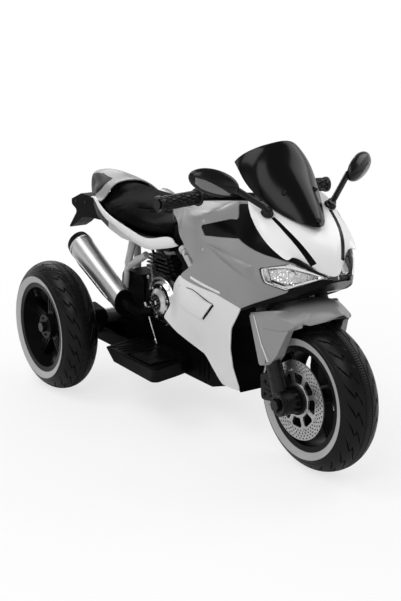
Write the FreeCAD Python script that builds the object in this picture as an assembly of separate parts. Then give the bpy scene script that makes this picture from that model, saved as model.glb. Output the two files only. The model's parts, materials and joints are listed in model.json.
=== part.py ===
import FreeCAD, Part
import math
import os

V = FreeCAD.Vector
os.makedirs("parts", exist_ok=True)

# Wheels and stance, millimetres
wheel_radius = 160.0
wheelbase = 765.0
half_track = 218.0
tyre_width = 97.0
lip_radius = 127.5
lip_height = 15.5
lip_dish = 5.5
lip_wall = 3.0
axle_radius = 6.0
tail_reach = 1062.0
fit = 0.05
touch = 0.3

# Steering
rake_degrees = 22.0
steer_set = 50.0
fork_set = 22.0
fork_spacing = 158.0
fork_tube_radius = 14.0
slider_radius = 17.0
stem_radius = 12.5
head_tube_radius = 22.0
bar_radius = 9.0
grip_radius = 15.5
grip_length = 110.0
disc_radius = 84.0
disc_wall = 3.0

# Panels
panel_wall = 3.0
seam = 0.6
glass_wall = 2.5

# Chassis
tub_width = 124.0
tub_wall = 4.0
footboard_length = 221.0
footboard_width = 130.0
footboard_height = 42.0
battery_length = 151.0
battery_width = 65.0
battery_height = 94.0

# Drive
gear_module = 1.2
pinion_teeth = 14
gear_teeth = 56
gear_width = 10.0
motor_radius = 18.0
motor_length = 60.0

# Silencer
silencer_half_width = 30.0
silencer_half_height = 33.0
silencer_front = 28.0
silencer_length = 249.0
silencer_face = 572.0
silencer_tilt = 25.0
silencer_wall = 3.0

# Anchors that follow from the sizes
axle_height = wheel_radius
front_axle_x = (tail_reach - wheel_radius) / 2.0
rear_axle_x = front_axle_x - wheelbase
rake = math.radians(rake_degrees)
fork_half = fork_spacing / 2.0
tub_half = tub_width / 2.0


def fore(back, out, up):
    return V(front_axle_x - back, out, axle_height + up)


def aft(ahead, out, up):
    return V(rear_axle_x + ahead, out, axle_height + up)


# Steering frame: along the axis, ahead of it, sideways
steer_up = V(-math.sin(rake), 0, math.cos(rake))
steer_ahead = V(math.cos(rake), 0, math.sin(rake))


def steer(along, ahead, out):
    return fore(steer_set, out, 0) + steer_up * along + steer_ahead * ahead


# Shape helpers
def solid_of(shape):
    return max(shape.Solids, key=lambda s: s.Volume)


def clean(shape):
    return shape.removeSplitter()


def flip(shape):
    return shape.mirror(V(0, 0, 0), V(0, 1, 0))


def rod(start, end, radius):
    return Part.makeCylinder(radius, (end - start).Length, start, end - start)


def bent(points, radius):
    body = rod(points[0], points[1], radius)
    for first, last in zip(points[1:], points[2:]):
        body = body.fuse(Part.makeSphere(radius, first))
        body = body.fuse(rod(first, last, radius))
    return clean(body)


def bar_y(radius, y0, y1, x, z):
    return Part.makeCylinder(radius, y1 - y0, V(x, y0, z), V(0, 1, 0))


def tube_y(outer, inner, y0, y1, x, z):
    return bar_y(outer, y0, y1, x, z).cut(bar_y(inner, y0 - 1, y1 + 1, x, z))


def outline(points, place, radius=0.0):
    flat = [V(p[0], p[1], 0) for p in points]
    radii = [p[2] if len(p) > 2 else radius for p in points]
    stops = []
    for i, corner in enumerate(flat):
        before = flat[i - 1] - corner
        after = flat[(i + 1) % len(flat)] - corner
        half = before.getAngle(after) / 2.0
        if radii[i] <= 0 or half > 1.5:
            stops.append((corner, None, corner))
            continue
        reach = min(radii[i] / math.tan(half), before.Length * 0.45, after.Length * 0.45)
        round_by = reach * math.tan(half)
        u = V(before).normalize()
        w = V(after).normalize()
        middle = V(u + w).normalize() * (math.hypot(reach, round_by) - round_by)
        stops.append((corner + u * reach, corner + middle, corner + w * reach))
    edges = []
    for i, (start, middle, end) in enumerate(stops):
        last = stops[i - 1][2]
        if (start - last).Length > 1e-4:
            edges.append(Part.makeLine(place(last.x, last.y), place(start.x, start.y)))
        if middle is not None:
            arc = Part.Arc(place(start.x, start.y), place(middle.x, middle.y), place(end.x, end.y))
            edges.append(arc.toShape())
    return Part.Wire(edges)


def side_block(points, y0, y1, radius=0.0, grow=0.0, frame=fore):
    wire = outline(points, lambda a, b: frame(a, y0, b), radius)
    if grow:
        wire = wire.makeOffset2D(grow)
    return Part.Face(wire).extrude(V(0, y1 - y0, 0))


def plan_block(points, up0, up1, radius=0.0, frame=fore):
    wire = outline(points, lambda a, b: frame(a, b, up0), radius)
    return Part.Face(wire).extrude(V(0, 0, up1 - up0))


def front_block(points, back0, back1, radius=0.0):
    wire = outline(points, lambda a, b: fore(back0, a, b), radius)
    return Part.Face(wire).extrude(V(back0 - back1, 0, 0))


def box_at(back0, back1, out0, out1, up0, up1):
    corner = fore(back1, out0, up0)
    return Part.makeBox(back1 - back0, out1 - out0, up1 - up0, corner)


def turned(points, centre):
    place = lambda y, r: centre + V(r, y, 0)
    return Part.Face(outline(points, place)).revolve(centre, V(0, 1, 0), 360)


# Curved panels: an outer grid of points and the same grid moved inward
def toward(core0, core1):
    span = core1 - core0

    def inward(point):
        share = max(0.0, min(1.0, (point - core0).dot(span) / span.dot(span)))
        return V(core0 + span * share - point).normalize()
    return inward


def face_of(rows):
    surface = Part.BSplineSurface()
    surface.interpolate(rows)
    return surface.toShape()


def shell_of(rows, near, far, inward):
    outer = face_of([[p + inward(p) * near for p in row] for row in rows])
    inner = face_of([[p + inward(p) * far for p in row] for row in rows])
    sides = [Part.makeRuledSurface(a, b) for a, b in zip(outer.Edges, inner.Edges)]
    shell = Part.makeShell([outer, inner] + sides)
    shell.sewShape()
    solid = Part.makeSolid(shell)
    if solid.Volume < 0:
        solid.reverse()
    return solid


def mirrored_rows(half_rows):
    rows = []
    for half in half_rows:
        right = [fore(b, -o, u) for b, o, u in half]
        left = [fore(b, o, u) for b, o, u in reversed(half[:-1])]
        rows.append(right + left)
    return rows


nodes = {}


def keep(name, *solids):
    nodes[name] = solids[0] if len(solids) == 1 else Part.makeCompound(list(solids))


# Tyres and rims
half_tyre = tyre_width / 2.0
tread_drop = wheel_radius - lip_radius
tread_round = (half_tyre ** 2 + tread_drop ** 2) / (2.0 * tread_drop)
lip_inner = lip_radius - lip_height
barrel_out = lip_inner - 6.0
barrel_in = barrel_out - 6.0
hub_radius = 30.0
disc_plane = half_tyre + 3.5
hub_half = disc_plane + disc_wall + 6.4


def tyre_at(centre):
    def spot(y, r):
        return centre + V(r, y, 0)
    edge_r = lip_radius + 0.4
    lip_y = half_tyre - lip_wall - 0.2
    bead_y = half_tyre - lip_dish - lip_wall - 0.2
    seat_y = bead_y - 2.0
    seat_r = barrel_out + 0.3
    corner = [(half_tyre, edge_r), (lip_y, edge_r), (bead_y, lip_inner + 0.2), (seat_y, seat_r),
            (seat_y - 9.0, seat_r),
              (seat_y - 4.0, lip_inner + 8.0)]
    right = [spot(y, r) for y, r in corner]
    left = [spot(-y, r) for y, r in corner]
    edges = [Part.Arc(left[0], spot(0, wheel_radius), right[0]).toShape()]
    edges += [Part.makeLine(a, b) for a, b in zip(right, right[1:])]
    edges.append(Part.Arc(right[-1], spot(0, wheel_radius - 11.0), left[-1]).toShape())
    back = left[::-1]
    edges += [Part.makeLine(a, b) for a, b in zip(back, back[1:])]
    return Part.Face(Part.Wire(edges)).revolve(centre, V(0, 1, 0), 360)


def rim_at(centre, hub0, hub1, hub_r):
    lip_y = half_tyre
    base_y = half_tyre - lip_dish
    points = [(lip_y, lip_radius), (base_y, lip_inner), (base_y - 2.0, barrel_in), (2.0 - base_y,
            barrel_in),
              (-base_y, lip_inner), (-lip_y, lip_radius), (lip_wall - lip_y, lip_radius),
              (lip_wall - base_y, lip_inner),
              (lip_wall + 2.0 - base_y, barrel_out), (base_y - lip_wall - 2.0, barrel_out),
              (base_y - lip_wall, lip_inner), (lip_y - lip_wall, lip_radius)]
    rim = turned(points, centre)
    rim = rim.fuse(bar_y(hub_r, centre.y + hub0, centre.y + hub1, centre.x, centre.z))
    for i in range(5):
        angle = math.radians(90.0 + 72.0 * i)
        across = angle + math.pi / 2.0
        corners = []
        for r, w in ((hub_r - 6.0, 15.0), (barrel_in + 1.0, 10.0), (barrel_in + 1.0, -10.0),
                (hub_r - 6.0, -15.0)):
            x = centre.x + r * math.cos(angle) + w * math.cos(across)
            z = centre.z + r * math.sin(angle) + w * math.sin(across)
            corners.append(V(x, centre.y - 13.0, z))
        spoke = Part.Face(Part.makePolygon(corners + corners[:1])).extrude(V(0, 26.0, 0))
        rim = rim.fuse(spoke)
    rim = rim.cut(bar_y(axle_radius + fit, centre.y - 200, centre.y + 200, centre.x, centre.z))
    return clean(rim)


front_centre = fore(0, 0, 0)
keep("front_tyre", tyre_at(front_centre))
keep("front_rim", rim_at(front_centre, -hub_half, hub_half, hub_radius))

case_outer = 140.0
case_inner = 104.0
hub_gap = 8.0
rear_hub_in = case_outer + hub_gap
for side, name in ((-1, "right"), (1, "left")):
    centre = aft(0, side * half_track, 0)
    reach = half_track - rear_hub_in
    span = (-30.0, reach) if side < 0 else (-reach, 30.0)
    keep("rear_tyre_" + name, tyre_at(centre))
    keep("rear_rim_" + name, rim_at(centre, span[0], span[1], hub_radius))

# Brake discs: one flat face with its holes, pushed to thickness
hole_start = disc_radius - 4.0
face = Part.Face(Part.Wire(Part.makeCircle(disc_radius, fore(0, disc_plane, 0), V(0, 1, 0))))
holes = [Part.Wire(Part.makeCircle(hub_radius + touch, fore(0, disc_plane, 0), V(0, 1, 0)))]
for row in range(4):
    ring = hole_start - 5.6 * row
    for i in range(44):
        angle = 2.0 * math.pi * (i + 0.5 * (row % 2)) / 44.0
        spot = fore(-ring * math.cos(angle), disc_plane, ring * math.sin(angle))
        holes.append(Part.Wire(Part.makeCircle(1.9, spot, V(0, 1, 0))))
window_out = hole_start - 20.5
window_in = hub_radius + 7.0
for i in range(8):
    angle = 2.0 * math.pi * i / 8.0
    turn = math.radians(17.5)
    corners = []
    for r, t in ((window_out, turn), (window_out, -turn), (window_in, -turn * 0.9), (window_in,
            turn * 0.9)):
        corners.append((-r * math.cos(angle + t), r * math.sin(angle + t)))
    holes.append(outline(corners, lambda a, b: fore(a, disc_plane, b), 6.0))
disc = Part.makeFace([face.OuterWire] + holes, "Part::FaceMakerBullseye").extrude(V(0, disc_wall, 0))
keep("brake_discs", disc, flip(disc))

# Fork legs with their axle bosses
boss_in = hub_half + 0.6
boss_out = fork_half + 25.0
yoke_low = 205.0
yoke_wall = 14.0
fork_ahead = (steer_set - fork_set) * math.cos(rake)
slide_shift = (steer_set - fork_set) * math.sin(rake)
leg_foot = steer(slide_shift - 14.0, fork_ahead, fork_half)
leg_knee = steer(80.0, fork_ahead, fork_half)
leg_top = steer(yoke_low - touch, fork_ahead, fork_half)
leg = rod(leg_foot, leg_knee, slider_radius).fuse(rod(leg_knee, leg_top, fork_tube_radius))
leg = leg.fuse(rod(leg_knee - steer_up * 12.0, leg_knee - steer_up * 4.0, slider_radius + 2.0))
leg = leg.fuse(bar_y(25.0, boss_in, boss_out, front_axle_x, axle_height))
leg = clean(leg.cut(bar_y(axle_radius + fit, 0, 300, front_axle_x, axle_height)))
leg_room = rod(leg_foot, leg_knee, slider_radius + touch).fuse(rod(leg_knee, leg_top,
        fork_tube_radius + touch))
leg_room = leg_room.fuse(bar_y(25.0 + touch, boss_in - touch, boss_out, front_axle_x, axle_height))
leg_room = leg_room.fuse(rod(leg_knee - steer_up * 12.4, leg_knee - steer_up * 3.6,
        slider_radius + 2.0 + touch))
keep("fork_legs", flip(leg), leg)

# Front axle and its two nuts
nut_in = boss_out + touch
axle_end = boss_out + 9.0
spindle = bar_y(axle_radius, -axle_end, axle_end, front_axle_x, axle_height)
nut = Part.Face(Part.makePolygon([fore(13 * math.cos(a), nut_in, 13 * math.sin(a))
                                  for a in [math.pi * k / 3.0 for k in range(7)]])).extrude(V(0, 11.0, 0))
nut = nut.cut(bar_y(axle_radius + fit, 0, axle_end, front_axle_x, axle_height))
keep("front_axle", spindle, flip(nut), nut)

# Brake calipers
pad_in = disc_plane + disc_wall + 2.0
caliper = side_block([(42, -14, 4), (96, -22, 8), (100, 34, 8), (70, 42, 6), (42, 30, 4)], pad_in,
        pad_in + 19.0)
caliper = solid_of(caliper.cut(leg_room))
keep("brake_calipers", flip(caliper), caliper)

# Stem and lower yoke
head_low = yoke_low + yoke_wall + 3.0
head_high = head_low + 128.0
stem_top = head_high + 44.0
yoke_half = fork_half + fork_tube_radius + 4.0
yoke_corners = [steer(yoke_low, fork_ahead + 18.0, -yoke_half), steer(yoke_low, fork_ahead + 18.0,
        yoke_half),
                steer(yoke_low, fork_ahead - 18.0, yoke_half), steer(yoke_low, -20.0, 24.0),
                steer(yoke_low, -20.0, -24.0), steer(yoke_low, fork_ahead - 18.0, -yoke_half)]
yoke = Part.Face(Part.makePolygon(yoke_corners + yoke_corners[:1])).extrude(steer_up * yoke_wall)
stem = yoke.fuse(rod(steer(yoke_low, 0, 0), steer(stem_top, 0, 0), stem_radius))
keep("steering_stem", clean(stem))


def ring_on_stem(low, high, outer, inner):
    ring = rod(steer(low, 0, 0), steer(high, 0, 0), outer)
    return ring.cut(rod(steer(low - 1, 0, 0), steer(high + 1, 0, 0), inner))


bush_radius = stem_radius + 3.0
lower_bush = ring_on_stem(head_low, head_low + 18.0, bush_radius, stem_radius + fit)
lower_bush = lower_bush.fuse(ring_on_stem(head_low - 2.6, head_low - touch, head_tube_radius,
        stem_radius + fit))
lower_bush = clean(lower_bush.fuse(ring_on_stem(head_low - 1, head_low + 1, bush_radius,
        stem_radius + fit)))
upper_bush = ring_on_stem(head_high - 18.0, head_high, bush_radius, stem_radius + fit)
keep("steering_bushes", lower_bush, upper_bush)

# Handlebar with its neck on the stem, and grips
neck_radius = stem_radius + 5.5
neck = ring_on_stem(stem_top - 30.0, stem_top + 1.0, neck_radius, stem_radius + fit)
bar_mid = steer(stem_top + 4.0, -30.0, 0) + V(0, 0, 24.0)
grip_start = 112.0
bar_points = [bar_mid, bar_mid + V(-30, 58, 2), bar_mid + V(-49, grip_start, 4)]
grip_line = V(14.0, 114.0, -3.0).normalize()
grip_end = bar_points[-1] + grip_line * (grip_length + 5.0)
half_bar = bent(bar_points + [grip_end], bar_radius)
tie = rod(steer(stem_top - 8.0, -12.0, 0), bar_mid, 11.0)
tie = tie.cut(rod(steer(0, 0, 0), steer(stem_top + 40, 0, 0), stem_radius + 1.0))
bar = half_bar.fuse(flip(half_bar)).fuse(neck).fuse(tie)
keep("handlebar", solid_of(clean(bar)))
grip_root = bar_points[-1] + grip_line * 4.0
grip_tip = grip_root + grip_line * grip_length
grip = rod(grip_root, grip_tip, grip_radius)
grip = grip.fuse(rod(grip_root, grip_root + grip_line * 6.0, grip_radius + 4.0))
grip = grip.fuse(rod(grip_tip - grip_line * 9.0, grip_tip, grip_radius + 2.0))
grip = clean(grip.cut(rod(grip_root - grip_line * 4, grip_end + grip_line * 0.2, bar_radius + fit)))
keep("handle_grips", flip(grip), grip)

# Front fender: an arch over the tyre with two fork guards
crown = wheel_radius
arch = [[(100, 64, crown - 10), (100, 50, crown + 10), (100, 0, crown + 21)],
        [(52, 80, crown - 14), (52, 58, crown + 22), (52, 0, crown + 37)],
        [(10, 81, crown - 11), (10, 58, crown + 27), (10, 0, crown + 46)],
        [(-14, 65, crown - 1), (-22, 44, crown + 28), (-28, 0, crown + 47)],
        [(-38, 44, crown + 11), (-45, 30, crown + 27), (-51, 0, crown + 41)],
        [(-57, 22, crown + 20), (-63, 14, crown + 25), (-68, 0, crown + 30)]]
over_wheel = toward(fore(60, 0, 100), fore(-40, 0, 100))
fender = shell_of(mirrored_rows(arch), 0, panel_wall, over_wheel)
guard_out = fork_half + 21.0
guard_line = [(114, crown + 5, 8), (69, 64, 8), (43, 72, 8), (29, 92, 12), (15, 126, 14), (4, 152, 10),
              (-18, crown + 6, 8), (40, crown + 15, 8), (94, crown + 9, 8)]
guard_fold = 64.0
guard_front = 66.0


def guard_plan(inset):
    return [(140, guard_out - inset), (guard_fold, guard_out - inset), (-40, guard_front - inset), (-40,
            30), (140, 30)]


guard = side_block(guard_line, guard_out - 60.0, guard_out)
guard = guard.common(plan_block(guard_plan(0.0), 0, 300))
guard = guard.cut(box_at(-60, 200, 0, fork_half - 12.0, 0, 300))
guard_room = side_block(guard_line, 0, guard_out, grow=-panel_wall)
guard_room = guard_room.common(plan_block(guard_plan(panel_wall), 0, 300))
guard = solid_of(guard.cut(guard_room))
guard_pivot = V(fore(0, guard_out, 110))
guard.rotate(guard_pivot, V(1, 0, 0), 3.0)
guard = guard.cut(leg_room)
tyre_room = bar_y(wheel_radius + 8.0, -half_tyre - 12.0, half_tyre + 12.0, front_axle_x, axle_height)
fender = fender.fuse(guard).fuse(flip(guard)).cut(leg_room).cut(flip(leg_room)).cut(tyre_room)
keep("front_fender", solid_of(clean(fender)))

# Nose cowl
nose_half = [[(29, 97, 312), (0, 77, 302), (-17, 44, 285), (-43, 0, 262)],
             [(57, 109, 338), (24, 82, 330), (-3, 44, 318), (-20, 0, 304)],
             [(87, 108, 362), (50, 82, 355), (23, 44, 346), (9, 0, 338)],
             [(108, 104, 384), (79, 81, 377), (63, 44, 370), (56, 0, 367)],
             [(128, 92, 400), (114, 68, 396), (106, 36, 394), (102, 0, 394)]]
nose_rows = mirrored_rows(nose_half)
nose_core = toward(fore(200, 0, 250), fore(120, 0, 270))
keep("nose_cowl", shell_of(nose_rows, 0, panel_wall, nose_core))
nose_room = shell_of(nose_rows, -touch, 60.0, nose_core)
nose_band = shell_of(nose_rows, -12.0, panel_wall + touch, nose_core)

# Side skin of the body: stations from the rear to the beak, each from low to high
stations = [
    (412, [(114, 44), (132, 88), (140, 136), (140, 189), (134, 241), (122, 292), (99, 349)]),
    (330, [(104, 10), (126, 65), (139, 125), (142, 185), (137, 245), (130, 300), (103, 360)]),
    (230, [(76, -45), (98, 25), (122, 105), (144, 190), (147, 255), (141, 312), (102, 368)]),
    (150, [(66, -60), (84, 20), (104, 110), (128, 200), (141, 270), (133, 330), (95, 396)]),
    (60, [(80, 165), (100, 200), (115, 232), (125, 264), (126, 292), (117, 322), (94, 362)]),
    (-8, [(52, 204), (66, 222), (75, 240), (79, 259), (76, 278), (68, 298), (53, 324)]),
    (-60, [(10, 238), (15, 247), (19, 256), (21, 265), (19, 274), (13, 284), (6, 296)])]
skin_rows = [[fore(back, -out, up) for out, up in column] for back, column in stations]
body_core = toward(fore(330, 0, 230), fore(90, 0, 262))


def skin(near, far):
    return shell_of(skin_rows, near, far, body_core)


outer_skin = skin(0, panel_wall)
skin_room = skin(-80.0, panel_wall + touch)


def panel(points, radius=0.0, grow=0.0, near=0.0, far=panel_wall):
    whole = outer_skin if (near, far) == (0.0, panel_wall) else skin(near, far)
    return whole.common(side_block(points, -320, 0, radius, grow))


light_line = [(49, 277, 5), (45, 247, 4), (12, 233, 3), (-52, 264, 2), (-48, 269, 2), (0, 289, 10)]
vent_line = [(150, 389, 3), (120, 393, 4), (102, 387, 4), (87, 365), (56, 338), (26, 311), (-4, 300),
             (-30, 282), (-50, 270), (-54, 266), (-30, 277.5), (0, 292.5), (42, 303.5), (62, 311),
             (104, 329), (168, 321), (216, 316, 4), (236, 333, 4), (150, 359, 3), (128, 361, 4), (134, 372, 4)]
grey_line = [(118, 176.6), (8, 230), (-8, 262), (-8, 289), (42, 305), (104, 331), (152, 393),
             (202, 384, 20), (240, 366, 20), (300, 355), (402, 346, 6), (392, 328, 8), (361, 314, 20),
             (300, 286, 30), (243, 252, 8), (302, 213, 4), (184, 198)]
white_line = [(303, 212.4, 4), (337, 184, 10), (350, 160, 14), (357, 138, 10), (390, 96, 4), (340, 71, 10),
              (262, 38, 20), (228, -26, 14), (171, -28, 8), (181, 26, 40), (177, 71, 40), (161, 122, 40),
              (119, 176), (184, 197.4)]
chin_line = [(118, 175.7), (13, 226.7), (4.5, 233.6), (-8, 241.4), (-52, 262.8), (-66, 262), (-62, 256),
             (0, 219), (75, 190), (118, 171.6)]
upper = panel(grey_line).cut(side_block(light_line, -320, 0, grow=seam)).cut(side_block(vent_line, -320,
        0, grow=seam))
upper = solid_of(upper.cut(nose_band))
keep("upper_fairing_right", upper)
keep("upper_fairing_left", flip(upper))
lower = solid_of(panel(white_line))
keep("lower_fairing_right", lower)
keep("lower_fairing_left", flip(lower))
vent = solid_of(panel(vent_line, near=1.5, far=panel_wall + 1.5).cut(nose_band))
keep("side_vents", vent, flip(vent))
lens = solid_of(panel(light_line, far=glass_wall).cut(nose_band))
keep("headlight_lenses", lens, flip(lens))
bowl = panel(light_line, grow=-1.5, near=glass_wall + touch, far=glass_wall + 24.0)
bowl = bowl.cut(panel(light_line, grow=-3.5, near=glass_wall - 2.0, far=glass_wall + 22.0))
bowl = solid_of(bowl.cut(nose_band))
keep("headlight_bowls", bowl, flip(bowl))
chin_side = solid_of(panel(chin_line))
belly = side_block([(44, 202), (0, 220), (-58, 255), (-58, 258.5), (0, 223.5), (44, 205.5)], -90, 90)
belly = solid_of(belly.cut(skin_room).cut(flip(skin_room)))
keep("chin_panel", chin_side, flip(chin_side), belly)
inner_line = [(170, -30), (200, 22), (205, 103), (186, 160), (180, 178), (183, 179), (189, 161), (208,
        103), (203, 21), (173, -31)]
inner = side_block(inner_line, -200, 200).cut(skin_room).cut(flip(skin_room))
keep("front_inner_panel", solid_of(inner))

# Windshield and its screws
screen_half = [[(12, 11, 354), (9, 6, 354), (7, 0, 353.5)],
               [(31, 30, 361), (27, 16, 371), (25, 0, 375)],
               [(52, 45, 369), (48, 26, 391), (46, 0, 399)],
               [(77, 60, 382), (77, 39, 417), (75, 0, 433)],
               [(112, 76, 404), (108, 50, 450), (104, 0, 466)],
               [(150, 86, 434), (134, 52, 482), (124, 0, 496)],
               [(182, 89, 470), (156, 46, 501), (138, 0, 511)]]
screen_rows = mirrored_rows(screen_half)
screen_core = toward(fore(200, 0, 300), fore(100, 0, 320))
screen = shell_of(screen_rows, 0, glass_wall, screen_core)
over_screen = shell_of(screen_rows, -fit, 40.0, screen_core)
screw_radius = 2.2
screws = []
for back, out, up in ((77, -40, 416.5), (77, 40, 416.5), (16, 0, 364.5)):
    spot = fore(back, out, up)
    way = screen_core(spot)
    reach = 52.0 if out else 16.0
    head = solid_of(rod(spot - way * 4.0, spot + way * 2.0, 5.5).cut(over_screen))
    screws.append(clean(head.fuse(rod(spot - way * 3.0, spot + way * reach, screw_radius))))
    hole = rod(spot - way * 9.0, spot + way * (reach + 20.0), screw_radius + fit)
    screen = screen.cut(hole)
    nodes["nose_cowl"] = nodes["nose_cowl"].cut(hole)
keep("windshield", solid_of(screen))
nodes["nose_cowl"] = solid_of(nodes["nose_cowl"])
keep("windshield_screws", *screws)

# Tank cover
tank_half = [[(250, 95, 350), (250, 60, 356), (250, 0, 358)],
             [(310, 99, 347), (310, 66, 361), (310, 0, 366)],
             [(376, 99, 343), (376, 68, 364), (376, 0, 373)],
             [(400, 98, 337), (412, 64, 357), (424, 0, 367)],
             [(411, 95, 326), (436, 56, 340), (456, 0, 346)],
             [(413, 92, 314), (442, 54, 318), (464, 0, 320)]]
tank_rows = mirrored_rows(tank_half)
tank_core = toward(fore(430, 0, 240), fore(260, 0, 250))
tank = shell_of(tank_rows, 0, panel_wall, tank_core)
skin_inner = skin(-30.0, panel_wall + 0.4)
tank = solid_of(tank.cut(skin_inner).cut(flip(skin_inner)))
keep("tank_cover", tank)
tank_room = shell_of(tank_rows, -40.0, panel_wall + touch, tank_core)

# Tail cowl, lamp and trims
tail_half = [[(750, 92, 300), (757, 62, 326), (766, 30, 341), (768, 0, 344)],
             [(782, 88, 304), (795, 62, 328), (804, 30, 348), (808, 0, 353)],
             [(812, 74, 305), (832, 54, 328), (852, 28, 350), (862, 0, 358)],
             [(850, 56, 301), (872, 42, 320), (900, 24, 343), (914, 0, 350)],
             [(888, 40, 296), (908, 30, 310), (932, 16, 331), (941, 0, 337)],
             [(915, 26, 292), (930, 18, 293), (943, 9, 294), (948, 0, 294)]]
tail_core = toward(fore(760, 0, 280), fore(870, 0, 290))
tail_rows = mirrored_rows(tail_half)
tail_pod = shell_of(tail_rows, 0, panel_wall, tail_core)
lamp_line = [(790, 345, 8), (845, 350), (900, 345), (960, 334), (960, 270), (860, 270), (800, 300),
        (790, 322, 8)]
lamp_prism = side_block(lamp_line, -150, 150)
keep("tail_cowl", solid_of(tail_pod.cut(side_block(lamp_line, -150, 150, grow=seam))))
tail_room = shell_of(tail_rows, -40.0, panel_wall + touch, tail_core)
keep("tail_light", solid_of(tail_pod.common(lamp_prism)))
trim_top = [(774, 103, 311), (723, 113, 302), (654, 119, 281), (560, 123, 267), (474, 125, 261), (430,
        124, 270), (386, 123, 279),
            (368, 122, 275)]
trim_low = [(778, 101, 306), (728, 110, 288), (660, 116, 264), (575, 120, 246), (466, 123, 236), (420,
        122, 246), (376, 121, 257),
            (352, 120, 266)]
trim_mid = [((a[0] + b[0]) / 2, (a[1] + b[1]) / 2 + 2.5, (a[2] + b[2]) / 2) for a, b in zip(trim_top,
        trim_low)]


def trim_block(near, far):
    rows = [[fore(b, -o, u) for b, o, u in row] for row in (trim_top, trim_mid, trim_low)]
    return shell_of(rows, near, far, lambda p: V(0, 1, 0))


trim = trim_block(0, panel_wall)
keep("tail_trims", trim, flip(trim))

# Seat base and pad
seat_floor = 258.0
pad_sections = [(408, 94, 14, 56, 8), (450, 101, 6, 47, 8), (505, 106, 0, 40, 8), (580, 111, 2, 50, 12),
        (670, 108, 10, 62, 16),
                (735, 94, 18, 75, 30), (768, 80, 26, 84, 42)]


def pad_wire(back, half, low, high, drop):
    z0 = seat_floor + low
    z1 = seat_floor + high
    at = lambda o, u: fore(back, o, u)
    bottom = Part.makeLine(at(-half + 5, z0), at(half - 5, z0))
    side = Part.Arc(at(half - 5, z0), at(half, (z0 + z1 - drop) / 2.0), at(half - 9, z1 - drop)).toShape()
    top = Part.Arc(at(half - 9, z1 - drop), at(0, z1), at(9 - half, z1 - drop)).toShape()
    other = Part.Arc(at(9 - half, z1 - drop), at(-half, (z0 + z1 - drop) / 2.0), at(5 - half,
            z0)).toShape()
    return Part.Wire([bottom, side, top, other])


pad = Part.makeLoft([pad_wire(*s) for s in pad_sections], True, False)
pad = pad.cut(shell_of(tail_rows, -10.0, panel_wall + touch, tail_core))
pad = pad.cut(shell_of(tank_rows, -10.0, panel_wall + touch, tank_core))
keep("seat_pad", solid_of(pad))
pad_room = Part.makeLoft([pad_wire(b, w + touch, low - touch, high, drop) for b, w, low, high,
        drop in pad_sections], True, False)
base_sections = [(412, 104, 238, 10), (450, 116, 238, 6), (505, 121, 238, 1), (600, 119, 238, 4), (670,
        112, 246.6, 12),
                 (735, 98, 254.6, 24), (775, 88, 259.6, 38), (812, 72, 264, 44), (860, 52, 270, 40),
                 (906, 28, 274, 24)]
slices = []
for back, half, low, rise in base_sections:
    top = seat_floor - touch + rise
    corners = [fore(back, -half, low), fore(back, half, low), fore(back, half, top), fore(back, -half,
            top)]
    slices.append(Part.makePolygon(corners + corners[:1]))
base = Part.makeLoft(slices, True, True)
trim_room = trim_block(-30.0, panel_wall + touch)
post = rod(fore(830, 0, 275), fore(830, 0, 400), 9.0).cut(tail_room)
base = base.fuse(solid_of(post)).cut(trim_room).cut(flip(trim_room)).cut(tail_room).cut(pad_room)
keep("seat_base", solid_of(clean(base)))

# Plate holder
plate_line = [(852, 268.4), (905, 273.4, 3), (945, 279, 8), (982, 279, 10), (1038, 256, 5), (1036, 242,
        5), (1006, 229, 8),
              (tail_reach, 170, 3), (1016, 192, 14), (980, 214, 14), (930, 222, 20), (876, 224, 8)]
keep("plate_holder", side_block(plate_line, -24, 24))

# Main tub with its rear axle carrier
tub_top = 55.0
tub_floor = -58.0
deck_front = 30.0
tub_end = wheelbase - 75.0
carrier_half = 34.0
tub_line = [(205, 0, 6), (198, -24, 10), (300, tub_floor, 30), (tub_end, tub_floor, 10), (tub_end,
        tub_top), (420, tub_top),
            (300, deck_front), (235, deck_front, 6)]
tub = side_block(tub_line, -tub_half, tub_half)
carrier = side_block([(22, -30, 8), (-80, tub_floor), (-80, tub_top), (-20, 34, 8), (22, 28, 8)],
        -carrier_half, carrier_half,
                     frame=lambda a, y, b: aft(-a, y, b))
hollow = side_block([(214, 0), (210, -20), (304, tub_floor + tub_wall), (tub_end - 40,
        tub_floor + tub_wall),
                     (tub_end - 40, tub_top - tub_wall), (420, tub_top - tub_wall), (300,
                     deck_front - tub_wall),
                     (240, deck_front - tub_wall)], tub_wall - tub_half, tub_half - tub_wall)
mouth = box_at(316, tub_end - 50, tub_wall - tub_half, tub_half - tub_wall, 0, tub_top + 5)
housing_front = 556.0
housing_half = 86.7
housing_top = 150.0
housing = side_block([(housing_front, tub_top - 20), (housing_front, housing_top, 14), (tub_end - 34,
        housing_top, 24),
                      (tub_end - 22, tub_top - 20)], -housing_half, housing_half)
housing = housing.cut(side_block([(housing_front + tub_wall, tub_top - 30), (housing_front + tub_wall,
        housing_top - tub_wall, 10),
                                  (tub_end - 38, housing_top - tub_wall, 20), (tub_end - 26,
                                  tub_top - 30)],
                                 tub_wall - housing_half, housing_half - tub_wall))
housing_floor = box_at(housing_front, tub_end - 22, -housing_half, housing_half, tub_top - 20,
        tub_top - 16)
tray_half = 98.0
tray_front = wheelbase - wheel_radius - 10.0
tray = plan_block([(tray_front, tray_half, 10), (wheelbase + 18, tray_half, 10), (wheelbase + 18,
        -tray_half, 10),
                   (tray_front, -tray_half, 10)], tub_floor, tub_floor + 36)
tray = tray.cut(box_at(tray_front + tub_wall, wheelbase + 12, tub_wall - tray_half, tray_half - tub_wall,
                       tub_floor + tub_wall, 0))
tub = tub.fuse(housing).fuse(housing_floor).fuse(carrier).fuse(tray).cut(hollow).cut(mouth)
tub = tub.cut(bar_y(axle_radius + fit, -60, 60, rear_axle_x, axle_height))
socket_back = 420.0
socket_up = 14.0
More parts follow.
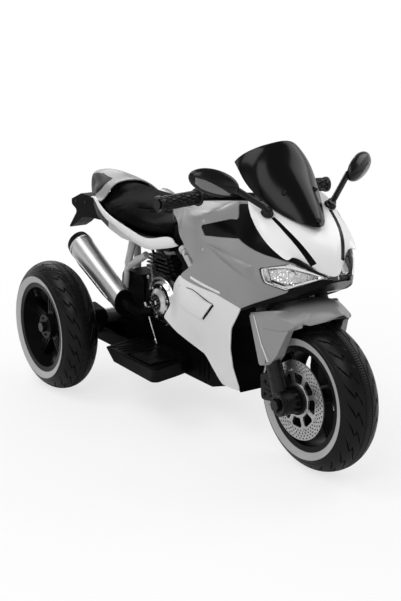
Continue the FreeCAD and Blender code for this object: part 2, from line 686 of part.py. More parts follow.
socket_spot = fore(socket_back, 0, socket_up)
tub = tub.cut(bar_y(9.3, tub_half - 10, tub_half + 10, socket_spot.x, socket_spot.z))
keep("main_tub", clean(tub))
socket = bar_y(9.0, tub_half - 16, tub_half + 2, socket_spot.x, socket_spot.z)
socket = socket.fuse(bar_y(13.0, tub_half + touch, tub_half + 3.0, socket_spot.x, socket_spot.z))
socket = clean(socket.cut(bar_y(3.0, tub_half - 11, tub_half + 4, socket_spot.x, socket_spot.z)))
keep("charge_socket", socket)

# Battery and control box in the tub
battery_back = 440.0
floor_up = tub_floor + tub_wall + touch
keep("battery", box_at(battery_back, battery_back + battery_length, -battery_width / 2, battery_width / 2,
                       floor_up, floor_up + battery_height))
keep("control_box", box_at(330, 420, -28, 28, floor_up, floor_up + 30))

# Dummy engine
engine_low = tub_top + touch
crank = side_block([(388, engine_low, 8), (386, 120, 20), (410, 160, 20), (470, 172, 10), (540, 150,
        20), (552, 100, 20),
                    (540, engine_low, 8)], -84, 84)
barrel = side_block([(436, 150), (470, 214, 6), (546, 208, 6), (553, 140)], -66, 66)
engine = crank.fuse(barrel)
for i in range(5):
    low = 168.0 + 9.0 * i
    fin = side_block([(446 + 4 * i, low), (448 + 4 * i, low + 4), (554 - 1.5 * i, low + 2),
            (555 - 1.5 * i, low - 2)], -80, 80)
    engine = engine.fuse(fin)
keep("engine_block", clean(engine))
cover_spot = fore(460, 0, 110)
cover_points = [(84 + touch, 0.0), (84 + touch, 50), (94, 50), (101, 44), (101, 34), (106, 32), (112,
        22), (112, 0.0)]
cover = turned(cover_points, cover_spot)
keep("engine_covers", flip(cover), cover)
rail_up = 238.0 - 10.0 - touch
leg_a = bent([fore(588, 94, 238 - touch), fore(622, 94, 152), fore(628, 94, 108)], 7.0)
leg_a = leg_a.cut(box_at(500, 760, 0, 140, 238 - touch, 300))
leg_b = bent([fore(536, 90, 206), fore(578, 93, 188), fore(622, 94, 152)], 6.0)
trellis = solid_of(clean(leg_a.fuse(leg_b)))
keep("frame_trellis", flip(trellis), trellis)

# Silencer, cap and pipe on the right
silencer_out = half_track - half_tyre - 8.0 - silencer_half_width
tilt = math.radians(silencer_tilt)
pipe_axis = V(-math.cos(tilt), 0, math.sin(tilt))
pipe_foot = fore(560, -silencer_out, 81.3)


def oval(along, half_w, half_h):
    wire = Part.Wire(Part.Ellipse(V(0, 0, 0), half_h, half_w).toShape())
    placed = wire.copy()
    placed.Placement = FreeCAD.Placement(pipe_foot + pipe_axis * along,
                                         FreeCAD.Rotation(V(math.sin(tilt), 0, math.cos(tilt)), V(0, 1,
                                         0), pipe_axis, "XYZ"))
    return placed


def can(near, grow):
    parts = [(0.0 - near, silencer_front - 3, silencer_front), (silencer_length * 0.5,
            silencer_half_width * 0.9,
             silencer_half_height * 0.86), (silencer_length + near, silencer_half_width,
             silencer_half_height)]
    return Part.makeLoft([oval(a, w - grow, h - grow) for a, w, h in parts], True, False)


ahead_of_face = box_at(400, silencer_face, -silencer_out - 80, 80 - silencer_out, 0, 260)
face_slice = box_at(silencer_face, silencer_face + 5, -silencer_out - 80, 80 - silencer_out, 0, 260)
body = can(0.0, 0.0).cut(can(1.0, silencer_wall)).cut(ahead_of_face)
front_plate = can(0.0, 0.0).common(face_slice)
keep("muffler_can", solid_of(clean(body.fuse(front_plate))))
cap = Part.makeLoft([oval(silencer_length + touch, silencer_half_width + 1, silencer_half_height + 1),
                     oval(silencer_length + 16, silencer_half_width - 2, silencer_half_height - 1),
                     oval(silencer_length + 26, silencer_half_width - 14, silencer_half_height - 14)],
                     True, True)
bore = rod(pipe_foot + pipe_axis * (silencer_length + 10),
        pipe_foot + pipe_axis * (silencer_length + 40), 14.0)
keep("muffler_cap", cap.cut(bore))
pipe_points = [fore(silencer_face + 8, -silencer_out, 92), fore(silencer_face - 16, -silencer_out, 84),
               fore(540, -106, 68), fore(526, -84 - touch, 68)]
pipe = bent(pipe_points, 11.0)
pipe = pipe.cut(box_at(300, 800, -84 - touch, 200, -50, 400))
pipe = pipe.cut(box_at(silencer_face - touch, 800, -300, 0, -50, 400))
keep("exhaust_pipe", solid_of(clean(pipe)))

# Frame: steering head, backbone, down tube, seat rails, struts and panel stays
head = rod(steer(head_low, 0, 0), steer(head_high, 0, 0), head_tube_radius)
rail_in = 32.0
back_bend = fore(430, 0, rail_up - 8.0)
down_foot = fore(276, 0, deck_front + 4)
tubes = [rod(steer(head_low, 0, 0), steer(head_high, 0, 0), head_tube_radius),
        rod(steer(head_low + 85, 0, 0), back_bend, 14.0),
         rod(steer(head_low + 62, 0, 0), down_foot, 14.0),
         rod(fore(430, -rail_in - 16, rail_up - 1), fore(430, rail_in + 16, rail_up - 1), 8.5),
         box_at(252, 298, -40, 40, deck_front + touch, deck_front + 6)]
for side in (-1, 1):
    tubes.append(bent([fore(424, side * rail_in, rail_up), fore(600, side * rail_in, rail_up),
                       fore(800, side * rail_in, rail_up + 24.6)], 10.0))
    strut_foot = fore(tub_end - 14, side * rail_in, tub_top + touch)
    tubes.append(rod(strut_foot, strut_foot + V(0, 0, rail_up + 6 - tub_top), 9.0))
for back, up, radius in ((300, 262, 6.0), (252, 116, 6.0)):
    stay = bar_y(radius, -180, 180, fore(back, 0, 0).x, axle_height + up)
    tubes.append(solid_of(stay.cut(skin_room).cut(flip(skin_room))))
nose_inner = shell_of(nose_rows, -60.0, panel_wall + touch, nose_core)
tubes.append(solid_of(rod(fore(170, 0, 312), fore(-60, 0, 312), 7.0).cut(nose_inner)))
tubes.append(solid_of(rod(fore(330, 0, 255), fore(330, 0, 400), 8.0).cut(tank_room)))
dash_up = 392.0
tubes.append(rod(fore(126, 0, 312), fore(126, 0, dash_up - touch), 6.0))
frame = tubes[0].multiFuse(tubes[1:])
frame = frame.cut(rod(steer(head_low - 60, 0, 0), steer(head_high + 60, 0, 0), bush_radius + fit))
frame = frame.cut(box_at(230, 306, -60, 60, 0, deck_front + touch))
keep("main_frame", solid_of(frame))

# Dash with its power button and direction switch
dash = plan_block([(100, 62, 8), (158, 62, 12), (158, -62, 12), (100, -62, 8)], dash_up, dash_up + 4)
button_spot = fore(132, -34, dash_up)
switch_spot = fore(132, 34, dash_up)
rocker_pin = 1.5
pin_line = (switch_spot.x, switch_spot.z + 2.0)
dash = dash.cut(Part.makeCylinder(8.3, 20, button_spot - V(0, 0, 8)))
dash = dash.cut(Part.makeBox(24.6, 14.6, 20, switch_spot - V(12.3, 7.3, 8)))
button_well = Part.makeCylinder(11, 14, button_spot - V(0, 0, 14)).cut(Part.makeCylinder(8.3, 12,
        button_spot - V(0, 0, 12)))
switch_well = Part.makeBox(30, 20, 16, switch_spot - V(15, 10, 16))
switch_well = switch_well.cut(Part.makeBox(24.6, 14.6, 14, switch_spot - V(12.3, 7.3, 14)))
dash = clean(dash.fuse(button_well).fuse(switch_well)).cut(nose_band)
keep("dash_panel", solid_of(dash.cut(bar_y(rocker_pin + fit, switch_spot.y - 9.2, switch_spot.y + 9.2,
        *pin_line))))
button = Part.makeCylinder(8.0, 11.0, button_spot - V(0, 0, 3.6))
keep("power_button", button)
rocker = side_block([(11.6, -2), (11.6, 6), (0, 4), (-11.6, 6), (-11.6, -2), (0, -7)], -6.9, 6.9,
                    frame=lambda a, y, b: switch_spot + V(-a, y, b + 2))
keep("direction_switch", clean(rocker.fuse(bar_y(rocker_pin, switch_spot.y - 9, switch_spot.y + 9,
        *pin_line))))

# Mirrors: a foot square to the nose, stalk and shell, turning about the foot's own axis
mirror_spot = fore(*nose_half[3][1])
nose_face = face_of(nose_rows)
foot_way = nose_face.normalAt(*nose_face.Surface.parameter(mirror_spot))
if foot_way.z < 0:
    foot_way = foot_way * -1.0
foot_radius = 9.0
foot_rise = 0.5
foot = rod(mirror_spot + foot_way * foot_rise, mirror_spot + foot_way * 13.0, foot_radius)
stalk_top = fore(104, 150, 436)
stalk = bent([mirror_spot + foot_way * 8.0, mirror_spot + foot_way * 16.0 + V(-6, 10, 4), stalk_top], 6.5)


def mirror_oval(along, half_w, half_h):
    wire = Part.Wire(Part.Ellipse(V(0, 0, 0), half_w, half_h).toShape())
    wire.Placement = FreeCAD.Placement(V(along, 0, 0), FreeCAD.Rotation(V(0, 1, 0), V(0, 0, 1),
            V(1, 0, 0), "XYZ"))
    return wire


shell = Part.makeLoft([mirror_oval(0, 51, 25), mirror_oval(7, 52, 26), mirror_oval(16, 42, 20),
        mirror_oval(22, 18, 8)], True, False)
shell.rotate(V(0, 0, 0), V(1, 0, 0), 17.0)
shell.rotate(V(0, 0, 0), V(0, 0, 1), 26.0)
shell.translate(fore(118, 184, 446))
mirror = solid_of(clean(foot.fuse(stalk).fuse(shell)))
keep("mirror_left", mirror)
keep("mirror_right", flip(mirror))

# Footboards, with a pedal recess on the right
board_back = wheelbase - wheel_radius - 43.0
board_front = board_back - footboard_length
board_top = -10.0
board_low = board_top - footboard_height
board_in = tub_half + touch
board_out = board_in + footboard_width
top_wire = outline([(board_front, board_out - 6, 14), (board_back, board_out, 14), (board_back + 22,
        board_out - 80, 10),
                    (board_back + 20, board_in), (board_front + 50, board_in), (board_front + 26,
                    board_in + 40, 10)],
                   lambda a, b: fore(a, b, board_top))
low_wire = outline([(board_front + 34, board_out - 22, 14), (board_back + 14, board_out - 26, 14),
                    (board_back + 24, board_out - 84, 10), (board_back + 20, board_in),
                    (board_front + 62, board_in),
                    (board_front + 50, board_in + 40, 10)], lambda a, b: fore(a, b, board_low))
board = Part.makeLoft([low_wire, top_wire], True, True)
keep("footboard_left", board)
pedal_in = board_in + 40.0
pedal_out = board_out - 18.0
pedal_back = board_front + 142.0
pedal_front = board_front + 44.0
pedal_floor = board_top - 14.0
recess = box_at(pedal_front - 2, pedal_back + 3, pedal_in - 2, pedal_out + 2, pedal_floor, board_top + 10)
pin_radius = 2.5
pin_spot = fore(pedal_back - 5.0, 0, board_top - 6.0)
pin = bar_y(pin_radius + fit, pedal_in - 6, pedal_out + 6, pin_spot.x, pin_spot.z)
keep("footboard_right", clean(flip(board.cut(recess).cut(pin))))
pedal = side_block([(pedal_front, board_top - 1, 2), (pedal_front, board_top + 5, 2), (pedal_back - 12,
        board_top + 3, 2),
                    (pedal_back - 1, board_top - 1, 2), (pedal_back - 1, board_top - 10, 2),
                    (pedal_back - 10, board_top - 10, 2),
                    (pedal_back - 14, board_top - 2)], pedal_in, pedal_out)
pedal = pedal.fuse(bar_y(pin_radius, pedal_in - 5, pedal_out + 5, pin_spot.x, pin_spot.z))
keep("accelerator_pedal", clean(flip(pedal)))


# Gear outlines
def gear(teeth, width, y0, centre, turn, bore):
    pitch = gear_module * teeth / 2.0
    pressure = math.radians(25.0)
    base_r = pitch * math.cos(pressure)
    tip = pitch + gear_module * 0.95
    root = pitch - gear_module * 1.25
    half = math.pi / (2.0 * teeth) - 0.06 / pitch
    inv_pitch = math.tan(pressure) - pressure
    flank = []
    for k in range(4):
        r = max(base_r, root) + (tip - max(base_r, root)) * k / 3.0
        a = math.acos(min(1.0, base_r / r))
        flank.append((r, half + inv_pitch - (math.tan(a) - a)))
    points = []
    for i in range(teeth):
        mid = turn + 2.0 * math.pi * i / teeth
        ring = [(root, -flank[0][1])] + [(r, -t) for r, t in flank] + [(r, t) for r,
                t in reversed(flank)] + [(root, flank[0][1])]
        for r, t in ring:
            points.append(V(centre.x + r * math.cos(mid + t), y0, centre.z + r * math.sin(mid + t)))
    cleaned = [p for p, q in zip(points, points[1:] + points[:1]) if (p - q).Length > 1e-3]
    blank = Part.Face(Part.makePolygon(cleaned + cleaned[:1])).extrude(V(0, width, 0))
    return blank.cut(bar_y(bore, y0 - 5, y0 + width + 5, centre.x, centre.z)) if bore else blank


# Drive on the left side, copied to the right
centre_gap = gear_module * (pinion_teeth + gear_teeth) / 2.0
lean_up = math.radians(20.0)
wheel_spot = aft(0, 0, 0)
motor_spot = aft(centre_gap * math.cos(lean_up), 0, centre_gap * math.sin(lean_up))
gear_in = 117.0
drive = gear(gear_teeth, gear_width, gear_in, wheel_spot, lean_up, 0)
drive = drive.fuse(bar_y(12.5, gear_in - 5, rear_hub_in - touch, wheel_spot.x, wheel_spot.z))
drive = clean(drive.cut(bar_y(axle_radius + fit, 60, 200, wheel_spot.x, wheel_spot.z)))
pinion_turn = lean_up + math.pi + math.pi / pinion_teeth
pinion = gear(pinion_teeth, gear_width + 2, gear_in - 1, motor_spot, pinion_turn, 0)
shaft_in = case_inner - motor_length + 20.0
pinion = clean(pinion.fuse(bar_y(2.5, shaft_in, gear_in, motor_spot.x, motor_spot.z)))
case_wall = 3.0
gear_room = gear_module * (gear_teeth / 2.0 + 1.0) + 3.0
pinion_room = gear_module * (pinion_teeth / 2.0 + 1.0) + 4.0


def case_shape(grow, y0, y1):
    big = bar_y(gear_room + grow, y0, y1, wheel_spot.x, wheel_spot.z)
    small = bar_y(max(pinion_room, motor_radius) + grow, y0, y1, motor_spot.x, motor_spot.z)
    r0 = gear_room + grow
    r1 = max(pinion_room, motor_radius) + grow
    swing = math.acos((r0 - r1) / centre_gap)
    corners = []
    for spot, r, t in ((wheel_spot, r0, swing), (motor_spot, r1, swing), (motor_spot, r1, -swing),
            (wheel_spot, r0, -swing)):
        corners.append(V(spot.x + r * math.cos(lean_up + t), y0, spot.z + r * math.sin(lean_up + t)))
    web = Part.Face(Part.makePolygon(corners + corners[:1])).extrude(V(0, y1 - y0, 0))
    return big.fuse(small).fuse(web)


case = case_shape(case_wall, case_inner, case_outer - 3.0).cut(case_shape(0, case_inner + case_wall,
        case_outer + 5))
case = case.fuse(bar_y(15.0, carrier_half + touch, case_inner + 1, wheel_spot.x, wheel_spot.z))
case = case.cut(bar_y(axle_radius + touch, 0, case_outer, wheel_spot.x, wheel_spot.z))
case = clean(case.cut(bar_y(3.0, 80, 115, motor_spot.x, motor_spot.z)))
lid = case_shape(case_wall, case_outer - 3.0 + 0.05, case_outer)
lid = clean(lid.cut(bar_y(12.5 + touch, 100, 200, wheel_spot.x, wheel_spot.z)))
motor = bar_y(motor_radius, case_inner - touch - motor_length, case_inner - touch, motor_spot.x,
        motor_spot.z)
motor = motor.cut(bar_y(2.5 + fit, shaft_in - 1, case_inner + 2, motor_spot.x, motor_spot.z))
keep("drive_gear_left", drive)
keep("drive_gear_right", flip(drive))
keep("motor_pinion_left", pinion)
keep("motor_pinion_right", flip(pinion))
keep("gearbox_cases", flip(case), case, flip(lid), lid)
keep("drive_motors", flip(motor), motor)

# Rear axle with its nuts
rear_nut_in = half_track + 30.0 + touch
rear_end = rear_nut_in + 10.0
hex_points = [aft(13 * math.cos(a), rear_nut_in,
        13 * math.sin(a)) for a in [math.pi * k / 3.0 for k in range(7)]]
rear_nut = Part.Face(Part.makePolygon(hex_points)).extrude(V(0, 12.0, 0))
rear_nut = rear_nut.cut(bar_y(axle_radius + fit, 0, rear_end, rear_axle_x, axle_height))
keep("rear_axle", bar_y(axle_radius, -rear_end, rear_end, rear_axle_x, axle_height), flip(rear_nut),
        rear_nut)

for name, shape in nodes.items():
    shape.exportStep("parts/" + name + ".step")
    box = shape.BoundBox
    print(name, shape.isValid(), len(shape.Solids), round(shape.Volume / 1000.0, 1), [round(v) for v in (
        box.XMin, box.XMax, box.YMin, box.YMax, box.ZMin, box.ZMax)])
print(len(nodes), "nodes")
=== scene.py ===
import json
import math
import bmesh
import bpy
import numpy as np
from mathutils import Matrix, Vector
from mathutils.bvhtree import BVHTree


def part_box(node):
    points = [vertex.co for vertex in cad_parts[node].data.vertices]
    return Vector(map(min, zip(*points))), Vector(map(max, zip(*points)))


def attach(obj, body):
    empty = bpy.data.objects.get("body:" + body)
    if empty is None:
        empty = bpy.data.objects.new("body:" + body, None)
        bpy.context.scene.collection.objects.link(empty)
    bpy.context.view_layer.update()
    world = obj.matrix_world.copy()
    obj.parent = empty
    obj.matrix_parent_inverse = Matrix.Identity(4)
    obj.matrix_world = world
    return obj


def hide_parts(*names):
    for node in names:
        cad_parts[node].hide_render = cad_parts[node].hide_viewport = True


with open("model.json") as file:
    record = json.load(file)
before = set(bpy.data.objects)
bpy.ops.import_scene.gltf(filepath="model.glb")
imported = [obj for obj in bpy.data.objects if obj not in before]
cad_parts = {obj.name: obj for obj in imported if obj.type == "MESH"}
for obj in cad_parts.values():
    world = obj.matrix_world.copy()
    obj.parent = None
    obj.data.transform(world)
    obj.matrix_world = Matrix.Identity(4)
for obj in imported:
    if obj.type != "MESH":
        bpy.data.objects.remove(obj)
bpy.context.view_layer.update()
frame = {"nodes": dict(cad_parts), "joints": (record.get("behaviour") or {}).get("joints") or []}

nodes = frame["nodes"]
pivots = {j["name"]: Vector(j["pos_m"]) for j in frame["joints"] if j.get("pos_m")}
frontHub = Vector((pivots["front_wheel_spin"].x, 0, pivots["front_wheel_spin"].z))
rearHub = Vector((pivots["rear_right_spin"].x, 0, pivots["rear_right_spin"].z))
halfTrack = 0.218
rightHub = rearHub + Vector((0, -halfTrack, 0))
leftHub = rearHub + Vector((0, halfTrack, 0))
sides = (1, -1)
sideNames = {1: "right", -1: "left"}
print("frame loaded,", len(nodes), "nodes")


def at(back, out, up):  # millimetres behind the front axle, out to the left, up from the axle
    return frontHub + Vector((-back, out, up)) / 1000


def spots(points, side=1):  # a row of such points, mirrored by side
    return [at(b, o * side, u) for b, o, u in points]


def mm(value):
    return value / 1000


def off(y):
    return Vector((0, y, 0))


def spoke(angle):  # way out from an axle
    return Vector((math.cos(angle), 0, math.sin(angle)))


def turns(count):
    return [2 * math.pi * k / count for k in range(count)]


class Wire:  # a socket that can be used in sums
    def __init__(self, finish, socket):
        self.finish = finish
        self.socket = socket

    def sum(self, operation, first, second):
        return self.finish.make("ShaderNodeMath", {"operation": operation}, {0: first, 1: second})

    def __add__(self, other):
        return self.sum("ADD", self, other)

    def __sub__(self, other):
        return self.sum("SUBTRACT", self, other)

    def __mul__(self, other):
        return self.sum("MULTIPLY", self, other)

    def __pow__(self, other):
        return self.sum("POWER", self, other)

    __radd__ = __add__
    __rmul__ = __mul__

    def __rsub__(self, other):
        return self.sum("SUBTRACT", other, self)

    def step(self, low, high):  # smooth rise from 0 at low to 1 at high
        inputs = {"Value": self, "From Min": low, "From Max": high}
        return self.finish.make("ShaderNodeMapRange", {"interpolation_type": "SMOOTHSTEP"}, inputs)


class Finish:  # one material and the nodes that feed it
    def __init__(self, name, fixed):
        self.material = bpy.data.materials.new(name)
        self.material.use_nodes = True
        self.tree = self.material.node_tree
        self.shader = next(n for n in self.tree.nodes if n.type == "BSDF_PRINCIPLED")
        for socket, value in fixed.items():
            self.shader.inputs[socket].default_value = value
        self.place = self.make("ShaderNodeTexCoord", out="Object")

    def make(self, kind, settings=None, inputs=None, out=0):
        node = self.tree.nodes.new(kind)
        for key, value in (settings or {}).items():
            setattr(node, key, value)
        for key, value in (inputs or {}).items():
            if isinstance(value, Wire):
                self.tree.links.new(value.socket, node.inputs[key])
            else:
                node.inputs[key].default_value = value
        return Wire(self, node.outputs[out])

    def vector(self, operation, first, second):
        return self.make("ShaderNodeVectorMath", {"operation": operation}, {0: first, 1: second})

    def spread(self, stretch):
        return self.vector("MULTIPLY", self.place, stretch) if stretch else self.place

    def noise(self, scale, detail=2.0, stretch=None):
        inputs = {"Vector": self.spread(stretch), "Scale": scale, "Detail": detail}
        return self.make("ShaderNodeTexNoise", None, inputs)

    def cells(self, scale, stretch=None):
        inputs = {"Vector": self.spread(stretch), "Scale": scale}
        return self.make("ShaderNodeTexVoronoi", {"feature": "DISTANCE_TO_EDGE"}, inputs)

    def axes(self, centre):  # x, y, z measured from a point
        spot = self.vector("SUBTRACT", self.place, tuple(centre))
        split = self.make("ShaderNodeSeparateXYZ", None, {0: spot}).socket.node
        return [Wire(self, socket) for socket in split.outputs]

    def radius(self, centre):
        x, y, z = self.axes(centre)
        return (x * x + z * z) ** 0.5

    def edges(self, size):  # 1 along sharp edges, 0 on flats
        soft = self.rounded(size)
        hard = self.make("ShaderNodeNewGeometry", out="Normal")
        inputs = {0: soft, 1: hard}
        along = self.make("ShaderNodeVectorMath", {"operation": "DOT_PRODUCT"}, inputs, out="Value")
        return (1 - along).step(0.01, 0.12)

    def mix(self, share, first, second):
        tones = [(*c, 1) if isinstance(c, tuple) else c for c in (first, second)]
        return self.make("ShaderNodeMix", {"data_type": "RGBA"}, {0: share, 6: tones[0], 7: tones[1]}, out=2)

    def tint(self, share, low, high):  # between two greys
        return self.mix(share, grey(low), grey(high))

    def feed(self, socket, wire):
        self.tree.links.new(wire.socket, self.shader.inputs[socket])

    def bump(self, height, strength, distance, normal=None):
        inputs = {"Height": height, "Strength": strength, "Distance": distance}
        if normal:
            inputs["Normal"] = normal
        self.feed("Normal", self.make("ShaderNodeBump", None, inputs))

    def rounded(self, size):
        return self.make("ShaderNodeBevel", {"samples": 4}, {"Radius": size})


def grey(value):
    return (value, value, value)


# painted body panels: gloss coat, slow tone drift, fine peel
def bodyPaint(name, tone, rough, coat):
    paint = Finish(name, {"Coat Weight": coat, "Coat Roughness": 0.06, "IOR": 1.5})
    drift = paint.noise(5.0, 3.0)
    speck = paint.noise(650.0, 2.0)
    scuff = paint.noise(70.0, 5.0, (1.0, 1.0, 3.0)).step(0.58, 0.75)
    paint.feed("Base Color", paint.tint(drift, tone * 0.95, tone * 1.05))
    paint.feed("Roughness", rough + drift * 0.06 + scuff * 0.06)
    paint.bump(speck, 0.035, 0.0004, paint.rounded(0.0012))
    return paint.material


# moulded black plastic: grain, worn pale edges, dust in the tone
def mouldedBlack(name, tone, rough, grain, spec):
    plastic = Finish(name, {"Specular IOR Level": spec})
    drift = plastic.noise(9.0, 4.0)
    pebble = plastic.noise(grain, 3.0)
    worn = plastic.edges(0.0015) * plastic.noise(60.0, 3.0).step(0.35, 0.7)
    base = plastic.tint(drift, tone * 0.75, tone * 1.25)
    plastic.feed("Base Color", plastic.mix(worn * 0.5, base, grey(tone * 3.0 + 0.01)))
    plastic.feed("Roughness", rough + (drift - 0.5) * 0.14 + pebble * 0.08)
    plastic.bump(pebble, 0.12, 0.0005, plastic.rounded(0.0014))
    return plastic.material


def polishedMetal(name, tone, rough, stretch, depth):
    metal = Finish(name, {"Metallic": 1.0})
    drift = metal.noise(14.0, 3.0)
    hair = metal.noise(240.0, 4.0, stretch)
    metal.feed("Base Color", metal.tint(drift, tone * 0.86, tone))
    metal.feed("Roughness", rough + drift * 0.08 + hair * 0.08)
    metal.bump(hair, depth, 0.0003)
    return metal.material


def rubberBlack(name, tone, rough, spec):
    rubber = Finish(name, {"Specular IOR Level": spec})
    bloom = rubber.noise(26.0, 4.0)
    grit = rubber.noise(1500.0, 2.0)
    rubber.feed("Base Color", rubber.tint(bloom, tone * 0.7, tone * 1.4))
    rubber.feed("Roughness", rough + (bloom - 0.5) * 0.2)
    rubber.bump(grit, 0.12, 0.0004)
    return rubber.material


def wheelRim(name, centre):  # black dish with a silver painted lip
    rim = Finish(name, {"Specular IOR Level": 0.1, "Coat Weight": 0.04, "Coat Roughness": 0.12})
    x, y, z = rim.axes(centre)
    reach = (x * x + z * z) ** 0.5
    lip = reach.step(0.1116, 0.1124) * (y * y).step(0.0385 ** 2, 0.0392 ** 2)
    drift = rim.noise(20.0, 3.0)
    grain = rim.noise(900.0, 2.0)
    black = rim.tint(drift, 0.003, 0.007)
    silver = rim.tint(drift, 0.40, 0.47)
    rim.feed("Base Color", rim.mix(lip, black, silver))
    rim.feed("Roughness", 0.34 + lip * 0.1 + drift * 0.06)
    rim.bump(grain, 0.05, 0.0004, rim.rounded(0.0015))
    return rim.material


def brakeSteel(name, centre):  # turned marks round the hub
    steel = Finish(name, {"Metallic": 1.0})
    reach = steel.radius(centre)
    rings = steel.make("ShaderNodeTexNoise", {"noise_dimensions": "1D"}, {"W": reach * 3000.0, "Detail": 3.0})
    heat = steel.noise(30.0, 3.0)
    steel.feed("Base Color", steel.tint(heat, 0.42, 0.55))
    steel.feed("Roughness", 0.3 + rings * 0.16)
    steel.bump(rings, 0.1, 0.0003)
    return steel.material


def seatLeather(name):
    hide = Finish(name, {"Specular IOR Level": 0.008})
    pores = hide.cells(420.0).step(0.0, 0.16)
    crease = hide.cells(130.0, stretch=(1.0, 1.4, 1.0)).step(0.0, 0.05)
    cloudy = hide.noise(12.0, 4.0)
    hide.feed("Base Color", hide.tint(cloudy * pores, 0.0015, 0.0045))
    hide.feed("Roughness", 0.38 + cloudy * 0.16 - pores * 0.04)
    hide.bump(pores * 0.7 + crease * 0.3, 0.22, 0.0007)
    return hide.material


def clearLens(name, tone, rough):
    lens = Finish(name, {"Transmission Weight": 1.0, "IOR": 1.25})
    flow = lens.noise(18.0, 2.0)
    lens.feed("Base Color", lens.tint(flow, tone * 0.97, tone))
    lens.feed("Roughness", rough + flow * 0.02)
    lens.bump(lens.noise(60.0, 1.0), 0.02, 0.0004)
    return lens.material


def smokedGloss(name, tone, rough, spec, coat):
    smoke = Finish(name, {"Specular IOR Level": spec, "Coat Weight": coat, "Coat Roughness": 0.12})
    depth = smoke.noise(6.0, 3.0)
    swirl = smoke.noise(120.0, 3.0, (1.0, 1.0, 0.15))
    smoke.feed("Base Color", smoke.tint(depth, tone * 0.6, tone * 1.5))
    smoke.feed("Roughness", rough + swirl * 0.05)
    smoke.bump(swirl, 0.015, 0.0004)
    return smoke.material


def glowing(name, tone, strength):
    glow = Finish(name, {"Emission Color": (1, 1, 1, 1), "Emission Strength": strength, "Roughness": 0.15})
    frost = glow.noise(900.0, 2.0)
    glow.feed("Base Color", glow.tint(frost, tone * 0.9, tone))
    glow.bump(glow.cells(700.0), 0.05, 0.0004)
    return glow.material


def seatSkirt(name, tone, pale):  # black base with a pale painted flank under the trims
    skirt = Finish(name, {"Specular IOR Level": 0.14})
    x, y, z = skirt.axes(at(560, 0, 252))
    flank = (y * y).step(0.092 ** 2, 0.095 ** 2)
    flank = flank * (0 - x * 0.176 - z).step(-0.0005, 0.0005) * (x + 0.12).step(-0.0005, 0.0005)
    drift = skirt.noise(9.0, 4.0)
    black = skirt.tint(drift, tone * 0.75, tone * 1.25)
    silver = skirt.tint(drift, pale * 0.95, pale * 1.05)
    skirt.feed("Base Color", skirt.mix(flank, black, silver))
    skirt.feed("Roughness", 0.42 - flank * 0.06 + drift * 0.08)
    skirt.bump(skirt.noise(1500.0, 3.0), 0.08, 0.0004, skirt.rounded(0.0014))
    return skirt.material


rubber = rubberBlack("tyre_rubber", 0.004, 0.34, 0.16)
gripRubber = rubberBlack("grip_rubber", 0.005, 0.3, 0.35)
paintGrey = bodyPaint("body_grey", 0.252, 0.38, 0.2)
paintWhite = bodyPaint("body_white", 0.9, 0.3, 0.4)
paintSilver = bodyPaint("body_silver", 0.75, 0.34, 0.3)
framePaint = bodyPaint("frame_paint", 0.5, 0.36, 0.3)
panelBlack = smokedGloss("panel_black", 0.003, 0.2, 0.06, 0.02)
plasticBlack = mouldedBlack("black_plastic", 0.003, 0.4, 1800.0, 0.03)
forkBlack = mouldedBlack("fork_black", 0.003, 0.2, 2600.0, 0.3)
caliperBlack = mouldedBlack("caliper_black", 0.006, 0.4, 1500.0, 0.2)
mirrorBlack = smokedGloss("mirror_black", 0.004, 0.2, 0.2, 0.08)
screenSmoke = smokedGloss("screen_smoke", 0.003, 0.17, 0.13, 0.03)
lampSmoke = smokedGloss("lamp_smoke", 0.008, 0.26, 0.05, 0.0)
mirrorLamp = smokedGloss("mirror_lamp", 0.16, 0.2, 0.35, 0.15)
screwBlack = mouldedBlack("screw_black", 0.006, 0.3, 2600.0, 0.3)
lensClear = clearLens("lens_clear", 0.98, 0.02)
chrome = polishedMetal("bowl_chrome", 0.9, 0.06, (1.0, 1.0, 1.0), 0.01)
coverChrome = polishedMetal("cover_chrome", 0.6, 0.16, (1.0, 1.0, 1.0), 0.02)
brushed = polishedMetal("silencer_silver", 0.62, 0.32, (0.06, 1.0, 1.0), 0.06)
steel = polishedMetal("steel", 0.5, 0.3, (1.0, 0.1, 1.0), 0.05)
nylon = mouldedBlack("gear_nylon", 0.5, 0.5, 1200.0, 0.4)
bushNylon = mouldedBlack("bush_nylon", 0.32, 0.5, 1200.0, 0.4)
switchGrey = mouldedBlack("switch_grey", 0.12, 0.4, 1600.0, 0.4)
leather = seatLeather("seat_leather")
skirtPaint = seatSkirt("seat_skirt", 0.0035, 0.46)
thread = rubberBlack("seat_thread", 0.012, 0.6, 0.2)
bulbGlow = glowing("lamp_glow", 0.8, 0.15)
frontRim = wheelRim("rim_front", frontHub)
rightRim = wheelRim("rim_right", rightHub)
leftRim = wheelRim("rim_left", leftHub)
discSteel = brakeSteel("disc_silver", frontHub)
print("finishes made")

